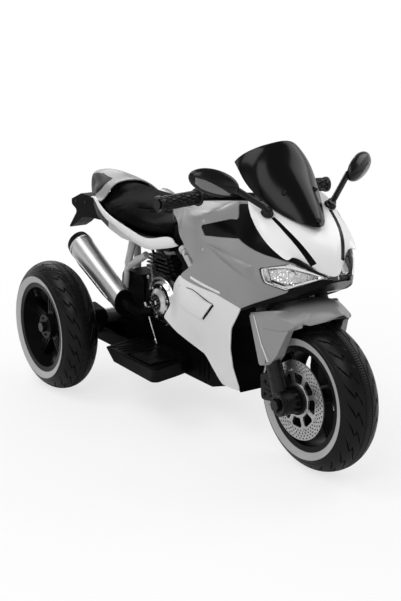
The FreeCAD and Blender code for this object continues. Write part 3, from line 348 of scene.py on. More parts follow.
nodeFinish = [
    (frontRim, "front_rim"),
    (rightRim, "rear_rim_right"),
    (leftRim, "rear_rim_left"),
    (discSteel, "brake_discs"),
    (rubber, "front_tyre rear_tyre_right rear_tyre_left"),
    (forkBlack, "fork_legs front_axle steering_stem handlebar engine_block accelerator_pedal rear_axle"),
    (caliperBlack, "brake_calipers"),
    (bushNylon, "steering_bushes"),
    (gripRubber, "handle_grips"),
    (paintGrey, "front_fender upper_fairing_right upper_fairing_left tank_cover tail_cowl"),
    (paintSilver, "lower_fairing_right lower_fairing_left tail_trims"),
    (panelBlack, "side_vents chin_panel"),
    (lensClear, "headlight_lenses"),
    (chrome, "headlight_bowls"),
    (plasticBlack, "front_inner_panel plate_holder main_tub charge_socket muffler_cap exhaust_pipe "
     "dash_panel direction_switch footboard_left footboard_right gearbox_cases"),
    (paintWhite, "nose_cowl"),
    (screenSmoke, "windshield"),
    (screwBlack, "windshield_screws"),
    (lampSmoke, "tail_light"),
    (leather, "seat_pad"),
    (skirtPaint, "seat_base"),
    (switchGrey, "battery control_box power_button"),
    (coverChrome, "engine_covers"),
    (framePaint, "frame_trellis main_frame"),
    (brushed, "muffler_can"),
    (mirrorBlack, "mirror_left mirror_right"),
    (nylon, "drive_gear_left drive_gear_right"),
    (steel, "motor_pinion_left motor_pinion_right drive_motors")]
bare = set(nodes)
for finish, names in nodeFinish:
    for name in names.split():
        nodes[name].data.materials.clear()
        nodes[name].data.materials.append(finish)
        bare.remove(name)
print("nodes without a finish:", sorted(bare))


# each piece gets one material slot, holding its finish
def addPiece(name, form, finish, body="chassis", sharp=35, stands=()):
    mesh = form
    if isinstance(form, bmesh.types.BMesh):
        bmesh.ops.recalc_face_normals(form, faces=form.faces)
        mesh = bpy.data.meshes.new(name)
        form.to_mesh(mesh)
        form.free()
    mesh.materials.clear()
    mesh.materials.append(finish)
    mesh.shade_smooth()
    mesh.set_sharp_from_angle(angle=math.radians(sharp))
    piece = bpy.data.objects.new(name, mesh)
    bpy.context.scene.collection.objects.link(piece)
    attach(piece, body)
    if stands:
        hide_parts(*stands)
    return piece


# search tree over some nodes or finished pieces
def skinOf(*names):
    points = []
    faces = []
    for name in names:
        mesh = (nodes.get(name) or bpy.data.objects[name]).data
        first = len(points)
        points += [v.co.copy() for v in mesh.vertices]
        faces += [[first + i for i in p.vertices] for p in mesh.polygons]
    return BVHTree.FromPolygons(points, faces)


def land(skin, spot, way, back=0.06):  # where a line along way first meets the skin
    hit, normal, index, gap = skin.ray_cast(spot - way * back, way, back + 0.3)
    if hit is None:
        hit, normal, index, gap = skin.find_nearest(spot)
    if normal.dot(way) > 0:
        normal = -normal
    return hit, normal


def curveThrough(points, count):  # even points on a smooth line
    points = [Vector(p) for p in points]
    ends = [points[0] * 2 - points[1]] + points + [points[-1] * 2 - points[-2]]
    fine = []
    for i in range(1, len(ends) - 2):
        a, b, c, d = ends[i - 1:i + 3]
        for k in range(24):
            t = k / 24
            fine.append(0.5 * (2 * b + (c - a) * t + (2 * a - 5 * b + 4 * c - d) * t * t
                               + (3 * b - a - 3 * c + d) * t ** 3))
    fine.append(points[-1])
    lengths = [0.0]
    for a, b in zip(fine, fine[1:]):
        lengths.append(lengths[-1] + (b - a).length)
    line = []
    spot = 0
    for k in range(count):
        want = lengths[-1] * k / (count - 1)
        while spot < len(fine) - 2 and lengths[spot + 1] < want:
            spot += 1
        run = lengths[spot + 1] - lengths[spot]
        share = (want - lengths[spot]) / run if run else 0
        line.append(fine[spot].lerp(fine[spot + 1], share))
    return line


def closeRings(form, rings, loop=False):  # skin a row of closed rings, capped or joined end to end
    made = [[form.verts.new(p) for p in ring] for ring in rings]
    for one, two in zip(made, made[1:] + (made[:1] if loop else [])):
        size = len(one)
        for i in range(size):
            form.faces.new((one[i], one[(i + 1) % size], two[(i + 1) % size], two[i]))
    if not loop:
        form.faces.new(made[0][::-1])
        form.faces.new(made[-1])


def lathe(form, spot, axis, profile, steps=32, hexed=()):
    axis = Vector(axis).normalized()
    side = axis.orthogonal().normalized()
    other = axis.cross(side)
    rings = []
    for k, (radius, along) in enumerate(profile):
        centre = spot + axis * along
        if radius == 0:
            rings.append([form.verts.new(centre)])
            continue
        ring = []
        for i in range(steps):
            angle = 2 * math.pi * i / steps
            reach = radius
            if k in hexed:  # flats of a hexagon
                reach = radius / math.cos((angle % (math.pi / 3)) - math.pi / 6) * math.cos(math.pi / 6)
            ring.append(form.verts.new(centre + (side * math.cos(angle) + other * math.sin(angle)) * reach))
        rings.append(ring)
    closed = len(rings[0]) > 1 and len(rings[-1]) > 1
    pairs = list(zip(rings, rings[1:])) + ([(rings[-1], rings[0])] if closed else [])
    for one, two in pairs:
        for i in range(steps):
            j = (i + 1) % steps
            if len(one) == 1:
                form.faces.new((one[0], two[i], two[j]))
            elif len(two) == 1:
                form.faces.new((one[i], two[0], one[j]))
            else:
                form.faces.new((one[i], two[i], two[j], one[j]))


def sized(profile, size):  # radii given as shares of a size
    return [(share * size, along) for share, along in profile]


def socketBolt(form, spot, axis, radius, height, sink=0.002):  # cap screw with a six sided socket
    profile = [(0, height * 0.35), (0.52, height * 0.35), (0.52, height), (0.8, height), (1, height * 0.75),
               (1, -sink), (0, -sink)]
    lathe(form, spot, axis, sized(profile, radius), 24, (1, 2))


def domeScrew(form, spot, axis, radius, height, sink=0.002):
    profile = [(0, height * 0.7), (0.25, height * 0.72), (0.3, height), (0.6, height * 0.86),
               (0.9, height * 0.45), (1, 0), (1, -sink), (0, -sink)]
    lathe(form, spot, axis, sized(profile, radius), 20)


flatStrip = [(-0.5, 0.0001), (-0.44, 0.0007), (0.44, 0.0007), (0.5, 0.0001)]


# a closed strip that lies on a skin: section is (across, height) pairs, scaled by width
def layStrip(form, skin, points, way, side, widths, section=flatStrip, sink=0.0015):
    line = curveThrough(spots(points, side), len(widths))
    way = Vector((way[0], way[1] * side, way[2])).normalized()
    rings = []
    for k, spot in enumerate(line):
        hit, normal = land(skin, spot, way)
        ahead = (line[min(k + 1, len(line) - 1)] - line[max(k - 1, 0)]).normalized()
        reach = ahead.cross(normal).normalized() * widths[k]
        ring = []
        for across, height in section:
            edge, out = land(skin, hit + reach * across, -normal, 0.012)
            if (edge - hit).length > abs(across) * widths[k] * 1.6 + 0.004:
                edge = hit + reach * across
                out = normal
            ring.append(edge + out * height)
        rings.append(ring + [hit + reach * across - normal * sink for across, height in reversed(section)])
    closeRings(form, rings)


def joinSheets(form, top, low):  # close the rim between two grids of points
    tall = len(top)
    wide = len(top[0])
    for i in range(tall - 1):
        for j in range(wide - 1):
            form.faces.new((top[i][j], top[i][j + 1], top[i + 1][j + 1], top[i + 1][j]))
            form.faces.new((low[i][j], low[i + 1][j], low[i + 1][j + 1], low[i][j + 1]))
    rim = [(0, j) for j in range(wide)] + [(i, wide - 1) for i in range(1, tall)]
    rim += [(tall - 1, j) for j in range(wide - 2, -1, -1)] + [(i, 0) for i in range(tall - 2, 0, -1)]
    for (a, b), (c, d) in zip(rim, rim[1:] + rim[:1]):
        form.faces.new((top[a][b], low[a][b], low[c][d], top[c][d]))


# a closed low relief on a skin: rows of points, height per point
def layRelief(form, skin, rows, way, heights, sink=0.0012):
    top = []
    low = []
    for row, lifts in zip(rows, heights):
        hits = [land(skin, spot, way) for spot in row]
        top.append([form.verts.new(hit + normal * lift) for (hit, normal), lift in zip(hits, lifts)])
        low.append([form.verts.new(hit - normal * sink) for hit, normal in hits])
    joinSheets(form, top, low)


def rampBetween(first, last, rows, columns):  # grid of points between two lines
    one = curveThrough(first, columns)
    two = curveThrough(last, columns)
    return [[a.lerp(b, k / (rows - 1)) for a, b in zip(one, two)] for k in range(rows)]


def block(form, corners, depth):  # flat outline pushed along a vector, both ends closed
    low = [form.verts.new(p) for p in corners]
    high = [form.verts.new(p + depth) for p in corners]
    form.faces.new(low[::-1])
    form.faces.new(high)
    for i in range(len(low)):
        j = (i + 1) % len(low)
        form.faces.new((low[i], low[j], high[j], high[i]))


def slab(form, backs, ups, out, depth):  # upright plate facing sideways
    corners = ((0, 0), (1, 0), (1, 1), (0, 1))
    block(form, [at(backs[i], out, ups[j]) for i, j in corners], off(depth))


def soften(form, width, segments):
    bmesh.ops.recalc_face_normals(form, faces=form.faces)
    bmesh.ops.bevel(form, geom=form.edges[:], offset=width, segments=segments, affect="EDGES",
                    clamp_overlap=True)


# tyres with cut grooves: a ring of sections whose depth follows the tread drawing
tyreLook = {
    "radius": 0.160, "halfWidth": 0.0485, "edge": 0.1279, "columns": 720, "blocks": 24, "cut": 0.0028,
    "width": 0.0036, "ribs": 180, "ribCut": 0.0011, "band": 0.0072,
    "zigzag": [(0.0115, 0.0), (0.0250, 0.036), (0.0285, 0.024), (0.0480, 0.064)],
    "inner": [(0.0453, 0.1279), (0.0398, 0.1122), (0.0378, 0.1063), (0.0288, 0.1063), (0.0338, 0.1200),
    (0.018, 0.142)]}


def treadDepth(look, s, track):  # s across the tread, track along it, both metres
    reach = abs(s)
    depth = np.zeros_like(track)
    if reach < look["band"]:
        wave = np.sin(track / (look["radius"] * 2 * math.pi) * look["ribs"] * 2 * math.pi)
        depth = np.clip(wave * 3.0, -1, 1) * 0.5 * look["ribCut"] + 0.5 * look["ribCut"]
    elif reach < look["band"] + 0.0016:
        depth = depth + look["ribCut"] * 1.3
    path = look["zigzag"]
    if path[0][0] <= reach <= path[-1][0]:
        mid = np.interp(reach, [p[0] for p in path], [p[1] for p in path])
        pitch = look["radius"] * 2 * math.pi / look["blocks"]
        mid += 0.5 * pitch if s < 0 else 0
        gap = np.abs((track + mid + pitch / 2) % pitch - pitch / 2)
        ends = min(1.0, (reach - path[0][0]) / 0.004 + 0.3, (path[-1][0] - reach) / 0.010 + 0.15)
        depth = depth + look["cut"] * ends * np.clip((look["width"] * 0.5 - gap) / 0.0008 + 0.5, 0, 1)
    if 0.0535 < reach < 0.0555:
        depth = depth + 0.0006
    return depth


def makeTyre(name, node, centre, body):
    look = tyreLook
    half = look["halfWidth"]
    drop = look["radius"] - look["edge"] + 0.0004
    bend = (half ** 2 + drop ** 2) / (2 * drop)
    most = math.asin(half / bend) * bend
    steps = [0.0, 0.0025, 0.0050, 0.0066, 0.0071, 0.0076, 0.0086, 0.0091, 0.0105]
    steps += list(np.arange(0.0120, 0.0500, 0.00145))
    steps += [0.0512, 0.0528, 0.0538, 0.0545, 0.0552, 0.0562, 0.059, most]
    across = [-s for s in steps[:0:-1]] + steps
    columns = look["columns"]
    turn = np.arange(columns) / columns * 2 * math.pi
    section = []
    for s in across:
        lean = s / bend
        depth = treadDepth(look, s, turn * look["radius"])
        reach = look["radius"] - bend + (bend - depth) * math.cos(lean)
        section.append(((bend - depth) * math.sin(lean), reach))
    for y, r in look["inner"] + [(-y, r) for y, r in reversed(look["inner"])]:
        section.append((np.full(columns, y), np.full(columns, r)))
    points = np.zeros((len(section), columns, 3))
    for k, (y, r) in enumerate(section):
        points[k, :, 0] = centre.x + r * np.cos(-turn)
        points[k, :, 1] = centre.y + y
        points[k, :, 2] = centre.z + r * np.sin(-turn)
    size = len(section)
    one = np.arange(size)[:, None] * columns + np.arange(columns)[None, :]
    right = np.roll(one, -1, axis=1)
    quads = np.stack([one, right, np.roll(right, -1, axis=0), np.roll(one, -1, axis=0)], axis=-1)
    mesh = bpy.data.meshes.new(name)
    mesh.from_pydata(points.reshape(-1, 3).tolist(), [], quads.reshape(-1, 4).tolist())
    fixed = bmesh.new()
    fixed.from_mesh(mesh)
    bmesh.ops.recalc_face_normals(fixed, faces=fixed.faces)
    fixed.to_mesh(mesh)
    fixed.free()
    return addPiece(name, mesh, rubber, body, sharp=50, stands=(node,))


wheels = [
    ("front", frontHub, "front_wheel", frontRim), ("right", rightHub,
    "rear_wheel_right", rightRim), ("left", leftHub, "rear_wheel_left", leftRim)]
for name, hub, body, finish in wheels:
    makeTyre("tread_" + name, "front_tyre" if name == "front" else "rear_tyre_" + name, hub, body)
print("tyres cut")

# grips with a spiral block pattern
gripLook = {
    "root": (0.17558, 0.11597, 0.54568), "tip": (0.18898, 0.22510, 0.54280), "bore": 0.00905,
    "core": 0.0132, "proud": 0.0024, "turns": 9, "rise": 95.0, "steps": 120, "rows": 110,
    "collars": (0.0058, 0.0088)}


def gripReach(look, along, long, angle):  # radius of the grip: two collars and a core of blocks
    inner, outer = look["collars"]
    if along < inner:
        return 0.0195 - 0.002 * max(0.0, 1 - min(along, inner - along) / 0.0012)
    if along > long - outer:
        return 0.0172 - 0.0012 * max(0.0, 1 - min(long - along, along - long + outer) / 0.0015)
    lean = look["turns"] * angle / 2
    first = abs(math.sin(lean + along * look["rise"]))
    second = abs(math.sin(lean - along * look["rise"] * 1.6))
    return look["core"] + look["proud"] * min(1.0, 1.9 * min(first, second))


def makeGrip(name, side):
    look = gripLook
    root, tip = [Vector((x, y * side, z)) for x, y, z in (look["root"], look["tip"])]
    long = (tip - root).length
    axis = (tip - root).normalized()
    one = axis.orthogonal().normalized()
    two = axis.cross(one)
    angles = turns(look["steps"])
    tracks = []
    for k in range(look["rows"] + 1):
        along = long * k / look["rows"]
        tracks.append((along, [gripReach(look, along, long, angle) for angle in angles]))
    tracks.append((long - 0.003, [look["bore"] * 0.999] * look["steps"]))
    tracks.append((0.0, [look["bore"]] * look["steps"]))
    rings = []
    for along, reaches in tracks:
        rings.append([root + axis * along + (one * math.cos(angle) + two * math.sin(angle)) * reach
                      for angle, reach in zip(angles, reaches)])
    form = bmesh.new()
    closeRings(form, rings, True)
    return addPiece(name, form, gripRubber, "steering", sharp=40)


rightGrip = makeGrip("grip_right", -1)
makeGrip("grip_left", 1)
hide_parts("handle_grips")
print("grips made")

# seat pad: the solid, slightly smaller, filled by cloth pressure, then seams pressed in
padLook = {
    "voxel": 0.0045, "inset": 0.004, "pressure": 4.0, "frames": 20, "cap": 0.007, "rub": 5, "seam": 0.0022,
    "seamWidth": 0.0028, "fill": 0.8}


def keepShape(piece):  # apply the modifiers
    shaped = piece.evaluated_get(bpy.context.evaluated_depsgraph_get())
    piece.data = bpy.data.meshes.new_from_object(shaped)
    piece.modifiers.clear()


def makePad():
    low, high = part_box("seat_pad")
    mesh = nodes["seat_pad"].data.copy()
    mesh.name = "saddle"
    pad = bpy.data.objects.new("saddle", mesh)
    bpy.context.scene.collection.objects.link(pad)
    middle = (low + high) / 2
    size = high - low
    shrink = [1 - 2 * padLook["inset"] / s for s in size]
    for v in mesh.vertices:
        v.co = Vector([middle[k] + (v.co[k] - middle[k]) * shrink[k] for k in range(3)])
    remesh = pad.modifiers.new("even", "REMESH")
    remesh.mode = "VOXEL"
    remesh.voxel_size = padLook["voxel"]
    keepShape(pad)
    mesh = pad.data
    held = pad.vertex_groups.new(name="held")
    keys = [(round(v.co.x, 2), round(v.co.y, 2)) for v in mesh.vertices]
    floor = {}
    for v, key in zip(mesh.vertices, keys):
        floor[key] = min(floor.get(key, 9), v.co.z)
    under = [v.index for v, key in zip(mesh.vertices, keys) if v.co.z < floor[key] + 0.004]
    held.add(under, 1.0, "REPLACE")
    start = [v.co.copy() for v in mesh.vertices]
    cloth = pad.modifiers.new("fill", "CLOTH")
    cloth.settings.use_pressure = True
    cloth.settings.uniform_pressure_force = padLook["pressure"]
    cloth.settings.effector_weights.gravity = 0
    cloth.settings.vertex_group_mass = "held"
    cloth.point_cache.frame_start = 1
    cloth.point_cache.frame_end = padLook["frames"]
    for number in range(1, padLook["frames"] + 1):
        bpy.context.scene.frame_set(number)
    filled = pad.evaluated_get(bpy.context.evaluated_depsgraph_get()).data
    moved = [v.co.copy() for v in filled.vertices]
    pad.modifiers.clear()
    bpy.context.scene.frame_set(1)
    for v, a, b in zip(mesh.vertices, start, moved):
        step = b - a
        v.co = a + step * min(1.0, padLook["cap"] / max(step.length, 1e-9))
    bpy.context.view_layer.update()
    rub = pad.modifiers.new("rub", "SMOOTH")
    rub.factor = 0.5
    rub.iterations = padLook["rub"]
    smooth = pad.modifiers.new("round", "SUBSURF")
    smooth.levels = 1
    keepShape(pad)
    return pad


pad = makePad()
seams = [
    [(560, -62), (505, -30), (470, -4)], [(560, 62), (505, 30), (470, 4)],
    [(600, -70), (530, -36), (490, -4)], [(600, 70), (530, 36), (490, 4)]]
seamLines = [curveThrough([at(b, o, 0) for b, o in seam], 60) for seam in seams]
seamPoints = np.array([(p.x, p.y) for line in seamLines for p in line])
for v in pad.data.vertices:
    if v.normal.z > 0.3:
        near = np.sqrt(((seamPoints - (v.co.x, v.co.y)) ** 2).sum(1).min())
        v.co.z -= padLook["seam"] * math.exp(-(near / padLook["seamWidth"]) ** 2)
saddleMesh = pad.data
bpy.data.objects.remove(pad)
saddle = addPiece("saddle", saddleMesh, leather, sharp=60, stands=("seat_pad",))
padSkin = skinOf("saddle")
stitches = bmesh.new()
down = Vector((0, 0, -1))
for line in seamLines:
    for k in range(0, len(line) - 1, 2):
        (start, normal), (end, other) = [land(padSkin, Vector((p.x, p.y, 0.7)), down,
                                              0.2) for p in line[k:k + 2]]
        ahead = end - start
        side = ahead.cross(normal).normalized() * 0.0005
        rise = normal * 0.0009
        foot = normal * -0.0006
        a = start + ahead * 0.15
        b = start + ahead * 0.85
        rings = []
        for spot, share in ((a, 0.5), (a.lerp(b, 0.3), 1.0), (a.lerp(b, 0.7), 1.0), (b, 0.5)):
            rings.append([spot - side + foot, spot + side + foot, spot + side + rise * share * 0.6,
                          spot + rise * share, spot - side + rise * share * 0.6])
        closeRings(stitches, rings)
addPiece("saddle_stitches", stitches, thread)

# tongue of the pad, tucked in under the tail cowl
tongueLook = {"front": 728, "back": 792, "half": 84, "deep": (-0.009, -0.0018), "thick": 0.016}
tongue = bmesh.new()
rows = []
lifts = []
for k in range(12):
    b = tongueLook["front"] + (tongueLook["back"] - tongueLook["front"]) * k / 11
    rows.append([at(b, o, 330) for o in np.linspace(-tongueLook["half"], tongueLook["half"], 40)])
    lifts.append([np.interp(k, [0, 6], tongueLook["deep"])] * 40)
layRelief(tongue, skinOf("seat_pad"), rows, down, lifts, tongueLook["thick"])
addPiece("saddle_tongue", tongue, leather)
print("seat made,", len(saddleMesh.vertices), "points")

upperSkin = {side: skinOf("upper_fairing_" + sideNames[side]) for side in sides}
lowerSkin = {side: skinOf("lower_fairing_" + sideNames[side]) for side in sides}

# black inlays on the nose, from the mirror feet to the beak
inlayLook = {
    "line": [(68, -74, 371), (24, -63, 340), (-14, -42, 296), (-21, -37, 286)], "wide": (0.0085, 0.0135),
    "way": (-0.75, 0.3, -0.6), "steps": 44}
noseSkin = skinOf("nose_cowl")
inlays = bmesh.new()
for side in sides:
    widths = np.linspace(*inlayLook["wide"], inlayLook["steps"])
    layStrip(inlays, noseSkin, inlayLook["line"], inlayLook["way"], side, widths)
addPiece("nose_inlays", inlays, panelBlack)

# grey fairing: a wedge under the crease, from the vent tip to the lamp
wedgeLook = {
    "high": [(214, -142, 303), (121, -141, 293), (58, -124, 281)], "columns": 36,
    "low": [(212, -142, 301), (150, -141, 276), (95, -134, 255), (64, -118, 238)], "lift": 0.0068,
    "rise": [0.0, 0.8, 1.0, 0.92, 0.78, 0.62, 0.46, 0.3, 0.14, 0.0]}
for side in sides:
    form = bmesh.new()
    columns = wedgeLook["columns"]
    rise = wedgeLook["rise"]
    rows = rampBetween(spots(wedgeLook["high"], side), spots(wedgeLook["low"], side), len(rise), columns)
    ease = [min(1.0, 3.2 * k / columns) * min(1.0, 12 * (columns - 1 - k) / columns) for k in range(columns)]
    lifts = [[wedgeLook["lift"] * level * share for share in ease] for level in rise]
    layRelief(form, upperSkin[side], rows, off(side), lifts)
    addPiece("fairing_wedge_" + sideNames[side], form, paintGrey, sharp=25)

# pale fairing: a folded flap, with black strips painted as shade: the shadowed mouth along its front edge and
# the shadow line under its upper fold
flapLook = {
    "front": [(197, -132, 170), (215, -132, 151), (236, -131, 130)],
    "rear": [(312, -148, 205), (322, -144, 178), (336, -140, 150)], "lift": 0.0062, "rows": 30,
    "columns": 16, "mouth": [(195, -131, 169), (213, -131, 150), (235, -130, 128)], "mouthWide": 0.0042,
    "fold": [(304, -151, 190), (259, -149, 193), (237, -145, 188), (208, -136, 174), (197, -132, 170)],
    "foldShadowWide": (0.0006, 0.0030)}
mouth = bmesh.new()
for side in sides:
    form = bmesh.new()
    tall = flapLook["rows"]
    columns = flapLook["columns"]
    rows = rampBetween(spots(flapLook["front"], side), spots(flapLook["rear"], side), tall, columns)
    bulge = [0.35 + 0.65 * math.cos(abs(j / (columns - 1) - 0.35) * 1.6) for j in range(columns)]
    lifts = [[flapLook["lift"] * (1 - k / (tall - 1)) ** 1.2 * share for share in bulge] for k in range(tall)]
    layRelief(form, lowerSkin[side], rows, off(side), lifts)
    addPiece("fairing_flap_" + sideNames[side], form, paintSilver, sharp=25)
    # painted shade: black strips laid where the flap's mouth and the step under its fold lie in shadow
    layStrip(mouth, lowerSkin[side], flapLook["mouth"], (0, 1, 0), side, [flapLook["mouthWide"]] * 24)
    layStrip(mouth, lowerSkin[side], flapLook["fold"], (0, 1, 0), side,
             np.linspace(*flapLook["foldShadowWide"], 40))
addPiece("flap_mouths", mouth, panelBlack)

# plain pale stripe above the split line
stripeLook = {
    "line": [(256, -150, 219), (212, -142, 210), (169, -131, 201)], "wide": [0.0058] * 30,
    "section": [(-0.5, 0.0002), (-0.45, 0.0009), (0.45, 0.0009), (0.5, 0.0002)]}
for side in sides:
    form = bmesh.new()
    layStrip(form, upperSkin[side], stripeLook["line"], (0, 1, 0), side, stripeLook["wide"],
             stripeLook["section"])
    addPiece("side_stripe_" + sideNames[side], form, paintSilver)
print("body details laid")

# headlights: pillow reflector, projector lamp and a light bar behind each lens
lampLook = {
    "top": [(34, -112, 272), (4, -92, 280), (-22, -68, 273), (-42, -42, 266)],
    "low": [(32, -108, 250), (10, -86, 240), (-18, -68, 251), (-40, -44, 261)],
    "bar": [(28, -106, 246), (8, -85, 240), (-16, -68, 250), (-38, -46, 260)], "barSize": 0.0016,
    "depth": 0.0125, "pillow": 0.0028, "thick": 0.0150, "rows": 31, "columns": 91, "spot": (-4, -80, 266),
    "size": 0.0072, "bezel": [(1.02, -0.004), (1.25, -0.004), (1.25, 0.005), (1.12, 0.0065), (1.02, 0.005)],
    "bulb": [(0, -0.004), (1, -0.004), (1, 0.003), (0.85, 0.0058), (0.5, 0.0078), (0, 0.0086)]}
lensSkin = skinOf("headlight_lenses")
for side in sides:
    name = sideNames[side]
    inward = Vector((-0.69, 0.72 * side, 0))
    form = bmesh.new()
    tall = lampLook["rows"]
    columns = lampLook["columns"]
    rows = rampBetween(spots(lampLook["top"], side), spots(lampLook["low"], side), tall, columns)
    waveAcross = [math.sin(math.pi * j / 6) for j in range(columns)]
    waveDown = [math.sin(math.pi * i / 5) for i in range(tall)]
    lifts = [[lampLook["pillow"] * abs(a * b) - lampLook["depth"] for a in waveAcross] for b in waveDown]
    layRelief(form, lensSkin, rows, inward, lifts, lampLook["thick"])
    addPiece("lamp_reflector_" + name, form, chrome, sharp=20)
    spot, normal = land(lensSkin, spots([lampLook["spot"]], side)[0], inward)
    for part, finish, slot in (("bezel", chrome, None), ("bulb", bulbGlow, "lens_clear")):
        form = bmesh.new()
        lathe(form, spot + inward * lampLook["depth"], -inward, sized(lampLook[part], lampLook["size"]), 40)
        addPiece("lamp_%s_%s" % (part, name), form, finish)
    rings = []
    for spot in curveThrough([p + inward * 0.008 for p in spots(lampLook["bar"], side)], 30):
        hit, normal = land(lensSkin, spot, inward)
        ring = [Vector((0, 0, math.sin(t))) - inward * math.cos(t) for t in turns(8)]
        rings.append([hit + inward * 0.0085 + p * lampLook["barSize"] for p in ring])
    bar = bmesh.new()
    closeRings(bar, rings)
    addPiece("lamp_bar_" + name, bar, bulbGlow)
print("headlights filled")

# wheels: spoke ribs, hub bolts, tyre valves
wheelLook = {
    "ribWide": 0.0042, "ribProud": 0.0022, "ribFrom": 0.036, "ribTo": 0.098, "ribApart": 0.0045,
    "face": 0.013, "boltRing": 0.0215, "boltSize": 0.0034, "hubFace": 0.030, "valveAngle": 2.2,
    "valve": [(0, -0.002), (0.0042, -0.002), (0.0042, 0.004), (0.0026, 0.006), (0.0026, 0.012),
    (0.0034, 0.0125), (0.0034, 0.019), (0, 0.0195)]}
for name, hub, body, finish in wheels:
    ribs = bmesh.new()
    bolts = bmesh.new()
    outer = 1 if name == "left" else -1
    for k in range(5):
        angle = math.radians(90 + 72 * k)
        out = spoke(angle)
        across = Vector((-math.sin(angle), 0, math.cos(angle)))
        wide = across * wheelLook["ribWide"] / 2
        for face in sides:
            base = hub + off(face * (wheelLook["face"] - 0.001))
            lift = off(face * (wheelLook["ribProud"] + 0.001))
            for shift in (wheelLook["ribApart"], -wheelLook["ribApart"]):
                near = base + out * wheelLook["ribFrom"] + across * shift * 1.3
                far = base + out * wheelLook["ribTo"] + across * shift * 0.9
                block(ribs, [near - wide, far - wide * 0.7, far + wide * 0.7, near + wide], lift)
        if name != "front":
            spot = hub + spoke(angle + math.radians(36)) * wheelLook["boltRing"]
            socketBolt(bolts, spot + off(outer * wheelLook["hubFace"]), off(outer), wheelLook["boltSize"],
                       0.003)
    out = spoke(wheelLook["valveAngle"])
    lathe(bolts, hub + out * 0.1005 + off(outer * 0.026), -out, wheelLook["valve"], 16)
    soften(ribs, 0.0006, 1)
    addPiece("spoke_ribs_" + name, ribs, finish, body)
    addPiece("hub_hardware_" + name, bolts, screwBlack, body)

# brake discs: floating buttons and carrier rings
discLook = {
    "face": 0.0552, "buttonRing": 0.0632, "size": 0.0043, "button": [(0, 0.0004), (0.45, 0.0004),
    (0.55, 0.0014), (0.9, 0.0014), (1, 0.0006), (1, -0.002), (0, -0.002)],
    "carrier": [(0.0305, -0.001), (0.0365, -0.001), (0.0365, 0.0012), (0.0355, 0.002), (0.0305, 0.002)]}
buttons = bmesh.new()
carriers = bmesh.new()
for face in sides:
    middle = frontHub + off(face * discLook["face"])
    for k in range(8):
        spot = middle + spoke(math.radians(22.5 + 45 * k)) * discLook["buttonRing"]
        lathe(buttons, spot, off(face), sized(discLook["button"], discLook["size"]), 24)
    lathe(carriers, middle, off(face), discLook["carrier"], 64)
addPiece("disc_buttons", buttons, steel, "front_wheel")
addPiece("disc_carriers", carriers, discSteel, "front_wheel")

# fork: dust seals and rings on the legs, washers and clamp screws at the axle
forkLook = {
    "rake": 22, "ahead": 25.96, "half": 79, "bore": 0.0135, "round": 0.0006,
    "rings": [(58, 0.0178, 0.003), (52, 0.0178, 0.003), (34, 0.0183, 0.005)], "washerFace": 0.1042,
    "washer": [(0.0155, -0.001), (0.0225, -0.001), (0.0225, 0.0015), (0.0215, 0.0025), (0.0165, 0.0025),
    (0.0155, 0.0018)], "screws": (0.6, 2.5, 4.2), "screwRing": 0.0248, "screwFace": 0.094}
rake = math.radians(forkLook["rake"])
steerUp = Vector((-math.sin(rake), 0, math.cos(rake)))
steerAhead = Vector((math.cos(rake), 0, math.sin(rake)))


def steer(alongMm, aheadMm, outMm):  # millimetres along and ahead of the steering axis
    return at(50, outMm, 0) + steerUp * mm(alongMm) + steerAhead * mm(aheadMm)


forkTrim = bmesh.new()
washers = bmesh.new()
for side in sides:
    for place, size, tall in forkLook["rings"]:
        half = tall / 2
        soft = forkLook["round"]
        profile = [(forkLook["bore"], -half), (size - soft, -half), (size, soft - half), (size, half - soft),
                   (size - soft, half), (forkLook["bore"], half)]
        lathe(forkTrim, steer(place, forkLook["ahead"], -side * forkLook["half"]), steerUp, profile, 48)
    lathe(washers, frontHub + off(-side * forkLook["washerFace"]), off(-side), forkLook["washer"], 48)
    for turn in forkLook["screws"]:
        spot = frontHub + spoke(turn) * forkLook["screwRing"] + off(-side * forkLook["screwFace"])
        socketBolt(forkTrim, spot, spoke(turn), 0.0032, 0.003)
addPiece("fork_rings", forkTrim, forkBlack, "steering")
addPiece("axle_washers", washers, forkBlack, "steering")

# calipers: cover ribs, bolts and a bleed nipple
caliperLook = {
    "face": 76.2, "bolts": ((62, 26), (84, 20), (86, -8), (62, -6)), "ribs": ((1.6, 4.4), (11.6, 14.4)),
    "ribRun": (66, 84), "proud": 0.0016, "nippleSpot": (92, 66, 36),
    "nipple": [(0, -0.006), (0.003, -0.006), (0.003, 0.003), (0.0018, 0.004), (0.0018, 0.008),
    (0.0026, 0.009), (0, 0.011)]}
caliperForm = bmesh.new()
for side in sides:
    face = -side * caliperLook["face"]
    for b, u in caliperLook["bolts"]:
        socketBolt(caliperForm, at(b, face, u), off(-side), 0.0036, 0.0032)
    for ups in caliperLook["ribs"]:
        slab(caliperForm, caliperLook["ribRun"], ups, face, -side * caliperLook["proud"])
    lathe(caliperForm, spots([caliperLook["nippleSpot"]], -side)[0], (0.2, 0, 1), caliperLook["nipple"], 16)
addPiece("caliper_hardware", caliperForm, caliperBlack, "steering")
print("wheels and fork dressed")

